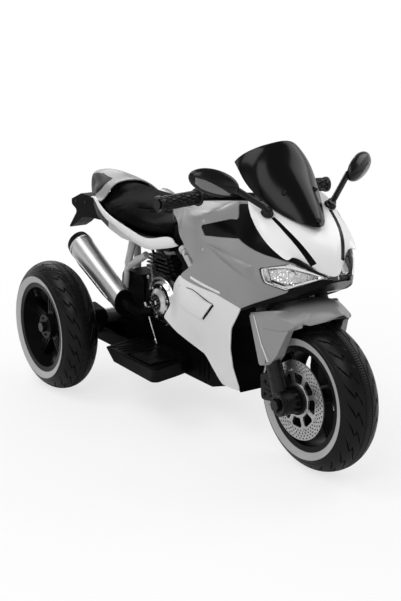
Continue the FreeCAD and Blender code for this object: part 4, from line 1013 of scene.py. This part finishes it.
# mirrors: glass behind, pale lens in front, boot at the foot
mirrorLook = {
    "centre": (118, -184, 446), "wide": 0.046, "tall": 0.0212, "yaw": 26, "roll": 17,
    "glass": [(1.0, -0.0008), (1.0, 0.0008), (0.97, 0.0014), (0.55, 0.0018), (0.1, 0.002)],
    "lensTop": [(0.040, 0.001), (0.018, 0.0015), (-0.012, -0.004), (-0.038, -0.012)],
    "lensLow": [(0.037, -0.011), (0.018, -0.0175), (-0.012, -0.0185), (-0.036, -0.0150)],
    "foot": (79, -81, 377), "axis": (0.5299465, -0.1213448, 0.8393045),
    "boot": [(0, 0.001), (0.0128, 0.001), (0.0136, 0.003), (0.0128, 0.006), (0.0100, 0.0085),
    (0.0092, 0.0135), (0, 0.0140)]}
for side in sides:
    name = sideNames[side]
    arm = "mirror_%s_arm" % name
    middle, foot = spots([mirrorLook["centre"], mirrorLook["foot"]], side)
    yaw = math.radians(mirrorLook["yaw"])
    roll = math.radians(mirrorLook["roll"])
    ahead = Vector((math.cos(yaw), -side * math.sin(yaw), 0))
    wide = Vector((-math.sin(yaw) * math.cos(roll), -side * math.cos(yaw) * math.cos(roll), math.sin(roll)))
    tall = ahead.cross(wide)
    tall = tall if tall.z > 0 else -tall
    rings = []
    for share, lift in mirrorLook["glass"]:
        rings.append([middle - ahead * lift + wide * math.cos(t) * mirrorLook["wide"] * share
                      + tall * math.sin(t) * mirrorLook["tall"] * share for t in turns(64)])
    glass = bmesh.new()
    closeRings(glass, rings)
    addPiece("mirror_glass_" + name, glass, chrome, arm)
    edges = [[middle + wide * a + tall * b + ahead * 0.03 for a, b in mirrorLook[key]] for key in ("lensTop",
                                                                                                   "lensLow")]
    lifts = [[0.0002 + 0.0012 * min(1, i, 9 - i, j / 2, (39 - j) / 2) for j in range(40)] for i in range(10)]
    panel = bmesh.new()
    layRelief(panel, skinOf("mirror_" + name), rampBetween(*edges, 10, 40), -ahead, lifts)
    addPiece("mirror_lens_" + name, panel, mirrorLamp, arm)
    x, y, z = mirrorLook["axis"]
    boot = bmesh.new()
    lathe(boot, foot, (x, y * side, z), mirrorLook["boot"], 36)
    addPiece("mirror_boot_" + name, boot, mirrorBlack, arm)
print("mirrors dressed")

# silencer: end band, lower guard, bright strip, front dish, outlet lip and rivets
canLook = {
    "foot": (560, -131.5, 81.3), "tilt": 25.0, "long": 0.249, "sections": [(0.025, 0.028), (0.027, 0.0284),
    (0.030, 0.033)], "band": [(0.965, -0.0006), (0.965, 0.0006), (0.969, 0.0011), (0.993, 0.0011),
    (0.997, 0.0006), (0.997, -0.0006)], "guardRun": (0.2, 0.92), "guardTurn": (-0.55, -2.05),
    "guardSteps": 18, "stripRun": (0.21, 0.91), "strip": [(-0.42, -0.0006), (-0.42, 0.0012), (-0.46, 0.0024),
    (-0.52, 0.0024), (-0.56, 0.0012), (-0.56, -0.0006)], "dish": [(1.015, 574.5), (1.015, 571.2),
    (0.96, 570.2), (0.9, 570.8), (0.2, 570.8)], "dishHalf": (25.3, 31.2), "dishUp": 87.2, "rivets": 10,
    "rivetShare": 0.981, "lip": [(0.0142, -0.006), (0.0162, -0.006), (0.0162, 0.0012), (0.0152, 0.0024),
    (0.0142, 0.0012)]}
tilt = math.radians(canLook["tilt"])
canAxis = Vector((-math.cos(tilt), 0, math.sin(tilt)))
canUp = Vector((math.sin(tilt), 0, math.cos(tilt)))
canOut = off(-1)
canFoot = at(*canLook["foot"])


def canSpot(share, angle, lift):  # share along the can; angle 0 is outward, a quarter turn is up
    parts = [2 * (share - 0.5) * (share - 1), -4 * share * (share - 1), 2 * share * (share - 0.5)]
    wide, tall = [sum(p * half[k] for p, half in zip(parts, canLook["sections"])) + lift for k in range(2)]
    centre = canFoot + canAxis * canLook["long"] * share
    return centre + canOut * math.cos(angle) * wide + canUp * math.sin(angle) * tall


bands = bmesh.new()
rings = [[canSpot(share, angle, lift) for share, lift in canLook["band"]] for angle in turns(72)]
closeRings(bands, rings, True)
addPiece("silencer_bands", bands, brushed)
first, last = canLook["guardRun"]
steps = canLook["guardSteps"]
angles = np.linspace(*canLook["guardTurn"], steps + 1).tolist()
rings = []
for share in np.linspace(first, last, 41).tolist():
    ease = min(1.0, 6 * (share - first) + 0.25, 6 * (last - share) + 0.25)
    heights = [0.0022] + [0.0034] * (steps - 1) + [0.0022]
    ring = [canSpot(share, angle, 0.0004 + high * ease) for angle, high in zip(angles, heights)]
    rings.append(ring + [canSpot(share, angle, -0.0008) for angle in reversed(angles)])
guard = bmesh.new()
closeRings(guard, rings)
addPiece("silencer_guard", guard, plasticBlack)
edge = bmesh.new()
shares = np.linspace(*canLook["stripRun"], 41).tolist()
closeRings(edge, [[canSpot(share, angle, lift) for angle, lift in canLook["strip"]] for share in shares])
addPiece("silencer_strip", edge, coverChrome)
wide, tall = canLook["dishHalf"]
rings = []
for grow, back in canLook["dish"]:
    rings.append([at(back, canLook["foot"][1] - wide * grow * math.cos(t),
                     canLook["dishUp"] + tall * grow * math.sin(t))
                  for t in turns(72)])
dish = bmesh.new()
closeRings(dish, rings)
addPiece("silencer_dish", dish, plasticBlack)
rivets = bmesh.new()
for k in range(canLook["rivets"]):
    angle = 2 * math.pi * (k + 0.5) / canLook["rivets"]
    out = canOut * math.cos(angle) + canUp * math.sin(angle)
    domeScrew(rivets, canSpot(canLook["rivetShare"], angle, 0.001), out, 0.0016, 0.0008)
lathe(rivets, canFoot + canAxis * (canLook["long"] + 0.026), canAxis, canLook["lip"], 48)
addPiece("silencer_rivets", rivets, steel)
print("silencer dressed")

# engine: cover trims, bolts, head studs, plug leads and a chrome hoop
engineLook = {
    "cover": (460, 101.2, 110), "boltRing": 0.0388, "boss": 0.0108, "side": 84,
    "ring": [(0.0338, -0.001), (0.0345, 0.0008), (0.0355, 0.0012), (0.0425, 0.0012), (0.0434, 0.0006),
    (0.0436, -0.001)], "disc": [(0, 0.0006), (0.0100, 0.0006), (0.0160, 0.0008), (0.0185, 0.0004),
    (0.0190, -0.001), (0, -0.001)], "cap": [(0, 0.0030), (0.0030, 0.0030), (0.0052, 0.0018),
    (0.0055, -0.001), (0, -0.001)], "rib": [(0.0095, -0.0010), (0.0165, -0.0013), (0.0165, 0.0013),
    (0.0095, 0.0010)], "ribProud": 0.0018, "hoop": [(-1, 0.0), (-1, 0.012), (-0.4, 0.0145), (0.4, 0.0145),
    (1, 0.012), (1, 0.0)], "hoopSize": 0.0555, "tab": ((499, 152), (509, 150), (517, 186), (509, 188)),
    "studs": ((478, 160), (536, 152), (400, 80), (536, 76), (404, 138)), "plugs": ((482, 203), (532, 199)),
    "lead": [(470, 79, 214), (476, 86, 226), (496, 87, 228), (514, 86, 224), (520, 79, 210)],
    "leadSize": 0.0034}
coverRing = bmesh.new()
coverBolts = bmesh.new()
hoops = bmesh.new()
studs = bmesh.new()
leads = bmesh.new()
for side in sides:
    way = off(-side)
    hub = spots([engineLook["cover"]], -side)[0]
    face = hub + way * engineLook["boss"]
    lathe(coverRing, hub, way, engineLook["ring"], 72)
    lathe(coverRing, face, way, engineLook["disc"], 60)
    for k in range(6):
        out = spoke(2 * math.pi * (k + 0.25) / 6)
        socketBolt(coverBolts, hub + out * engineLook["boltRing"] + way * 0.001, way, 0.0036, 0.003)
    for turn in turns(10):
        out = spoke(turn + 0.2)
        across = Vector((-out.z, 0, out.x))
        block(coverBolts, [face + out * a + across * b for a, b in engineLook["rib"]],
              way * engineLook["ribProud"])
    lathe(coverBolts, face, way, engineLook["cap"], 30)
    base = at(engineLook["cover"][0], -side * engineLook["side"], engineLook["cover"][2])
    rings = []
    for k in range(49):
        out = spoke(math.pi - math.radians(20 + 230 * k / 48))
        thick = 0.0030 if 2 < k < 46 else 0.0022
        rings.append([base + out * (engineLook["hoopSize"] + s * thick) + way * h for s,
                      h in engineLook["hoop"]])
    closeRings(hoops, rings)
    block(hoops, [at(b, -side * engineLook["side"], u) for b, u in engineLook["tab"]], way * 0.009)
    for b, u in engineLook["studs"]:
        socketBolt(studs, at(b, -side * engineLook["side"], u), way, 0.0046, 0.004)
    for b, u in engineLook["plugs"]:
        domeScrew(studs, at(b, -side * 66, u), way, 0.006, 0.005)
    line = curveThrough(spots(engineLook["lead"], -side), 30)
    rings = []
    for k, spot in enumerate(line):
        ahead = (line[min(k + 1, 29)] - line[max(k - 1, 0)]).normalized()
        one = ahead.cross(way).normalized()
        two = ahead.cross(one).normalized()
        circle = [one * math.cos(t) + two * math.sin(t) for t in turns(12)]
        rings.append([spot + p * engineLook["leadSize"] for p in circle])
    closeRings(leads, rings)
addPiece("engine_leads", leads, forkBlack)
addPiece("cover_rings", coverRing, panelBlack)
addPiece("cover_bolts", coverBolts, coverChrome)
addPiece("engine_hoops", hoops, coverChrome)
addPiece("engine_studs", studs, steel)

# turned rods on both sides: each profile is (share of the size, share of the length, millimetres past that)
rodLook = [
    ("frame_stubs", framePaint, 36, [((349, 109, 261), (287, 114, 212), 0.0075)], [(0, 0, 0), (1.25, 0, 0),
    (1.35, 0, 2), (1.35, 0, 10), (1.1, 0, 12), (1, 0, 13), (1, 1, -12), (1.3, 1, -11), (1.3, 1, 0),
    (0, 1, 0)]), ("trellis_sleeves", framePaint, 40, [((589.5, 94, 234), (617, 94, 166), 0.0092),
    ((536, 90, 206), (606, 94, 166), 0.0088)], [(0, 0, 0), (0.9, 0, 0), (1, 0, 1), (1, 0.3, 0),
    (0.96, 0.31, 0), (0.96, 1, -4), (0.75, 1, 0), (0, 1, 0)]),
    ("gear_rods", coverChrome, 24, [((542, 90, 84), (517, 76, -9), 0.001)], [(0, 0, -6), (4.8, 0, -6),
    (5.6, 0, 0), (4.8, 0, 6), (2.6, 0, 8), (2.6, 1, -12), (4.2, 1, -10), (4.2, 1, 0), (0, 1, 0)])]
for name, finish, steps, runs, profile in rodLook:
    form = bmesh.new()
    for side in sides:
        for first, last, size in runs:
            top, low = spots([first, last], -side)
            long = (low - top).length
            lathe(form, top, low - top, [(size * r, long * share + mm(more)) for r, share, more in profile],
                  steps)
    addPiece(name, form, finish)

# black inner covers between the fairings and the seat, open in the middle
innerLook = {
    "line": [(292, 70), (292, 284), (330, 298), (420, 298), (420, 236), (386, 215), (386, 70)], "out": 88,
    "wall": 6}
inner = bmesh.new()
for side in sides:
    block(inner, [at(b, -side * innerLook["out"], u) for b, u in innerLook["line"]],
          off(side * mm(innerLook["wall"])))
soften(inner, 0.002, 2)
addPiece("inner_covers", inner, plasticBlack)
print("engine dressed")

# footboards: raised border, chevron bars, screws; points are (back, out)
boardLook = {
    "top": -10, "proud": 0.0016, "wide": 0.005, "barWide": 0.0052, "slimWide": 0.004,
    "borders": [[(352, 181), (553, 186), (572, 118), (568, 72)], [(352, 181), (376, 112), (394, 72)]],
    "bars": {1: range(506, 543, 18), -1: range(392, 533, 20)}, "slim": {1: (70, 80, 90), -1: ()},
    "screws": ((364, 172), (552, 176), (560, 84), (400, 84)), "section": [(-1, -0.5), (-1, 0.6), (-0.6, 1),
    (0.6, 1), (1, 0.6), (1, -0.5)]}


def treadBar(form, points, side, wide):  # rounded bar lying on a board
    line = [at(b, -o * side, boardLook["top"]) for b, o in points]
    rise = Vector((0, 0, boardLook["proud"]))
    for a, b in zip(line, line[1:]):
        ahead = (b - a).normalized()
        across = ahead.cross(Vector((0, 0, 1))) * wide / 2
        ends = (a - ahead * wide * 0.35, b + ahead * wide * 0.35)
        closeRings(form, [[spot + across * s + rise * h for s, h in boardLook["section"]] for spot in ends])


for side in sides:
    treads = bmesh.new()
    for border in boardLook["borders"]:
        treadBar(treads, border, side, boardLook["wide"])
    for b in boardLook["bars"][side]:
        treadBar(treads, [(b + 6, 172), (b - 6, 136), (b + 6, 100)], side, boardLook["barWide"])
    for o in boardLook["slim"][side]:
        treadBar(treads, [(410, o), (490, o)], side, boardLook["slimWide"])
    for b, o in boardLook["screws"]:
        domeScrew(treads, at(b, -o * side, boardLook["top"]), (0, 0, 1), 0.0042, 0.002)
    addPiece("board_tread_" + sideNames[side], treads, plasticBlack)
pedalLook = {
    "ribs": range(392, 470, 11), "wide": [0.0046] * 25, "section": [(-0.5, 0.0002), (-0.4, 0.0011),
    (0.4, 0.0011), (0.5, 0.0002)]}
pedalRibs = bmesh.new()
pedalSkin = skinOf("accelerator_pedal")
for b in pedalLook["ribs"]:
    chevron = [(b + 5, -108, 0), (b - 4, -138, 0), (b + 5, -168, 0)]
    layStrip(pedalRibs, pedalSkin, chevron, (0, 0, -1), 1, pedalLook["wide"], pedalLook["section"])
addPiece("pedal_ribs", pedalRibs, forkBlack, "pedal")

# tub: side ribs, and screws where they land on the cases
tubLook = {"ribs": (316, 334, 352, 588), "ribUp": (-44, 18), "ribOut": 61.6, "ribProud": 0.0024, "out": 62,
           "caseOut": 86.7,
           "screws": ((300, 8), (330, 24), (400, 36), (600, 38), (640, 38), (600, -48), (640, -48)),
           "caseScrews": [(b, u) for b in (610, 640, 668) for u in (70, 130)]}
tubTrim = bmesh.new()
caseSkin = skinOf("main_tub", "gearbox_cases")
for side in sides:
    for b in tubLook["ribs"]:
        slab(tubTrim, (b - 2, b + 2), tubLook["ribUp"], -side * tubLook["ribOut"],
             -side * tubLook["ribProud"])
    for b, u in tubLook["screws"]:
        domeScrew(tubTrim, at(b, -side * tubLook["out"], u), off(-side), 0.0042, 0.0022)
    for b, u in tubLook["caseScrews"]:
        want = at(b, -side * tubLook["caseOut"], u)
        spot, normal = land(caseSkin, want, off(side))
        if (spot - want).length < 0.003:
            domeScrew(tubTrim, spot, off(-side), 0.0036, 0.002)
addPiece("tub_trim", tubTrim, plasticBlack)
print("floor parts dressed")

# dash: bezels round the button and the switch, steering cap
dashLook = {
    "button": (132, -34, 396), "switch": (132, 34, 395.4), "tall": 0.0022,
    "ring": [(0.0092, -0.001), (0.0126, -0.001), (0.0126, 0.0014), (0.0114, 0.0026), (0.0098, 0.0026),
    (0.0092, 0.0016)], "bars": ((0, 9.2, 16.4, 1.8), (0, -9.2, 16.4, 1.8), (14.2, 0, 2.0, 11),
    (-14.2, 0, 2.0, 11)), "cap": [(0, 0.0060), (0.0060, 0.0060), (0.0065, 0.0048), (0.0130, 0.0040),
    (0.0152, 0.0024), (0.0156, -0.001), (0, -0.001)], "capAlong": 395}
dashForm = bmesh.new()
lathe(dashForm, at(*dashLook["button"]), (0, 0, 1), dashLook["ring"], 40)
b, o, u = dashLook["switch"]
for dx, dy, wide, tall in dashLook["bars"]:
    corners = [at(b - dx + wide * s, o + dy + tall * t, u) for s, t in ((-1, -1), (1, -1), (1, 1), (-1, 1))]
    block(dashForm, corners, Vector((0, 0, dashLook["tall"])))
addPiece("dash_bezels", dashForm, panelBlack)
stemCap = bmesh.new()
lathe(stemCap, steer(dashLook["capAlong"], 0, 0), steerUp, dashLook["cap"], 40)
addPiece("stem_cap", stemCap, screwBlack, "steering")

# small screws on the body panels
screwLook = {"spots": [(230, 133, 343), (216, 144, 286)], "size": 0.0038, "proud": 0.0018}
screwForm = bmesh.new()
for side in sides:
    for place in spots(screwLook["spots"], -side):
        spot, normal = land(upperSkin[side], place, off(side))
        domeScrew(screwForm, spot, normal, screwLook["size"], screwLook["proud"])
addPiece("panel_screws", screwForm, steel)

# fender shoulders: a skin drawn tight over the fork guards and the arch
shoulderLook = {
    "back": [112, 100, 85, 64, 45, 25, 8, -6, -18, -26], "start": 130,
    "low": [149, 148, 147, 146, 145, 146, 150, 158, 164, 169],
    "high": [166.5, 170, 174, 180, 184, 186, 188, 190, 190, 189],
    "edge": [97.0, 96.8, 96.6, 95.0, 84, 62, 0, 0, 0, 0], "rows": 26, "columns": 80, "lift": 0.6,
    "rounds": 500, "wall": 2.0}
fenderSkin = skinOf("front_fender")
shoulders = bmesh.new()
look = shoulderLook
tall = look["rows"]
columns = look["columns"]
share = np.linspace(0, 1, columns)
backs, lows, highs, rim = [np.interp(share, np.linspace(0, 1, len(look[key])), look[key])
                           for key in ("back", "low", "high", "edge")]
ups = lows + (highs - lows) * np.linspace(0, 1, tall)[:, None]
for side in sides:
    floor = np.zeros(ups.shape)
    for i, j in np.ndindex(ups.shape):
        start = at(backs[j], -side * look["start"], ups[i, j])
        hit, normal, index, gap = fenderSkin.ray_cast(start, off(side), 0.1)
        floor[i, j] = look["start"] - gap * 1000 + look["lift"] if hit else 0
    outs = floor.copy()
    outs[-1] = np.maximum(floor[-1], rim)
    outs[1:-1, 0] = np.maximum(floor[1:-1, 0], np.linspace(outs[0, 0], outs[-1, 0], tall)[1:-1])
    for turn in range(look["rounds"]):
        mean = (outs[:-2, 1:-1] + outs[2:, 1:-1] + outs[1:-1, :-2] + outs[1:-1, 2:]) / 4
        outs[1:-1, 1:-1] = np.maximum(mean, floor[1:-1, 1:-1])
    sheets = [[[shoulders.verts.new(at(backs[j], -side * (outs[i, j] - deep),
                                       ups[i, j])) for j in range(columns)]
               for i in range(tall)] for deep in (0, look["wall"])]
    joinSheets(shoulders, *sheets)
addPiece("fender_shoulders", shoulders, paintGrey, "steering", sharp=30)

# ridge down each fork guard and a pale bead on it, a painted highlight along the crest: (across, height,
# share of the ridge's height)
ridgeLook = {
    "high": (97, 168), "low": (43.5, 75), "proud": (1.8, 3.0), "fold": 64, "face": 100, "steps": 60,
    "ridge": [(-0.5, -1.2, 0), (-0.5, 0.7, 0), (-0.22, 0, 1), (0.22, 0, 1), (0.5, 0.7, 0), (0.5, -1.2, 0)],
    "highlightBead": [(-0.5, -0.6, 1), (-0.5, 0.1, 1), (-0.3, 0.45, 1), (0.3, 0.45, 1), (0.5, 0.1, 1),
    (0.5, -0.6, 1)]}


def guardRib(name, finish, run, widths, section):
    form = bmesh.new()
    for side in sides:
        rings = []
        for share in np.linspace(*run, ridgeLook["steps"]).tolist():
            wide, proud = [np.interp(share, [0, 0.7, 1], [a, a, b]) for a, b in (widths, ridgeLook["proud"])]
            ring = []
            for across, height, part in section:
                b, u = [first + (last - first) * share for first,
                        last in zip(ridgeLook["high"], ridgeLook["low"])]
                b += 0.865 * across * wide
                u -= 0.503 * across * wide
                face = ridgeLook["face"] - max(0, ridgeLook["fold"] - b) * 0.3269 - (u - 110) * 0.0524
                ring.append(at(b, -side * (face + height + part * proud), u))
            rings.append(ring)
        closeRings(form, rings)
    addPiece(name, form, finish, "steering", sharp=25)


guardRib("guard_ridges", paintGrey, (0, 1), (4.0, 14.0), ridgeLook["ridge"])
# the pale bead is a painted highlight on the ridge crest
guardRib("guard_highlight_beads", paintSilver, (0.03, 0.97), (2.2, 2.2), ridgeLook["highlightBead"])

# plate holder: screws
plateLook = {"screws": [(900, 24, 256), (960, 24, 258), (1012, 24, 254)], "size": 0.0036, "proud": 0.002}
plateForm = bmesh.new()
for side in sides:
    for spot in spots(plateLook["screws"], -side):
        domeScrew(plateForm, spot, off(-side), plateLook["size"], plateLook["proud"])
addPiece("plate_screws", plateForm, screwBlack)
print("small parts added")

# camera: the photograph's place, as fitted to the wheels
cameraLook = {"place": (2.26322, -1.49240, 1.00205), "aim": (0.0088, 0.0, 0.2625), "lens": 71.54}
lens = bpy.data.cameras.new("photo_camera")
lens.lens = cameraLook["lens"]
lens.sensor_width = 36.0
lens.sensor_fit = "AUTO"
camera = bpy.data.objects.new("photo_camera", lens)
bpy.context.scene.collection.objects.link(camera)
camera.location = cameraLook["place"]
view = Vector(cameraLook["aim"]) - Vector(cameraLook["place"])
camera.rotation_euler = view.to_track_quat("-Z", "Y").to_euler()
bpy.context.scene.camera = camera

# studio: pale floor, white surround, soft boxes
studio = {
    "floor": 14.0, "worldHigh": 0.28, "ambient": 0.4, "white": 0.72,
    "boxes": [((1.5, -2.0, 2.6), (0.1, 0, 0.3), 1.6, 32.0), ((-0.6, -1.4, 2.8), (-0.1, 0, 0.3), 1.4, 25.0),
    ((0.6, 2.2, 2.2), (0.1, 0, 0.3), 1.8, 27.0), ((-2.2, 0.6, 1.8), (0, 0, 0.3), 1.4, 16.0)]}
bpy.context.scene.view_settings.view_transform = "Standard"
world = bpy.data.worlds.new("studio")
bpy.context.scene.world = world
world.use_nodes = True


class Surround(Finish):  # the world has no shader of its own kind
    def __init__(self, tree):
        self.tree = tree


air = Surround(world.node_tree)
sky = air.make("ShaderNodeTexCoord", out="Generated")
height = air.make("ShaderNodeSeparateXYZ", None, {0: sky}, out=2)
path = air.make("ShaderNodeLightPath").socket.node
direct = Wire(air, path.outputs["Is Camera Ray"]) + Wire(air, path.outputs["Is Transmission Ray"])
direct = direct + Wire(air, path.outputs["Is Glossy Ray"])
fade = 1 - height.step(0.12, 0.55) * (1 - studio["worldHigh"])
level = direct.step(0.0, 1.0) * fade + (1 - direct.step(0.0, 1.0)) * studio["ambient"]
backdrop = next(n for n in world.node_tree.nodes if n.type == "BACKGROUND")
backdrop.inputs["Color"].default_value = (1, 1, 1, 1)
world.node_tree.links.new(level.socket, backdrop.inputs["Strength"])
floorForm = bmesh.new()
half = studio["floor"]
corners = ((-half, -half), (half, -half), (half, half), (-half, half))
block(floorForm, [Vector((x, y, -0.02)) for x, y in corners], Vector((0, 0, 0.02)))
floorMesh = bpy.data.meshes.new("studio_floor")
floorForm.to_mesh(floorMesh)
floorForm.free()
floor = bpy.data.objects.new("studio_floor", floorMesh)
bpy.context.scene.collection.objects.link(floor)
paper = Finish("studio_paper", {"Roughness": 0.9, "Specular IOR Level": 0.0})
paper.feed("Base Color", paper.mix(paper.noise(3.0, 2.0), grey(0.90), grey(0.92)))
glow = paper.make("ShaderNodeEmission", None, {"Color": (1, 1, 1, 1), "Strength": 1.0})
seen = paper.make("ShaderNodeLightPath", out="Is Camera Ray")
far = paper.make("ShaderNodeVectorMath", {"operation": "LENGTH"}, {0: paper.place}, out="Value").step(0.6,
                                                                                                      1.6)
share = seen * (studio["white"] + far * (1 - studio["white"]))
blendNode = paper.make("ShaderNodeMixShader", None, {0: share}).socket.node
paper.tree.links.new(paper.shader.outputs[0], blendNode.inputs[1])
paper.tree.links.new(glow.socket, blendNode.inputs[2])
sheetOut = next(n for n in paper.tree.nodes if n.type == "OUTPUT_MATERIAL")
paper.tree.links.new(blendNode.outputs[0], sheetOut.inputs["Surface"])
floorMesh.materials.append(paper.material)
for k, (place, aim, size, watts) in enumerate(studio["boxes"]):
    lamp = bpy.data.lights.new("soft_box_%d" % k, "AREA")
    lamp.size = size
    lamp.energy = watts
    box = bpy.data.objects.new("soft_box_%d" % k, lamp)
    bpy.context.scene.collection.objects.link(box)
    box.location = place
    box.rotation_euler = (Vector(aim) - Vector(place)).to_track_quat("-Z", "Y").to_euler()
print("studio lit")
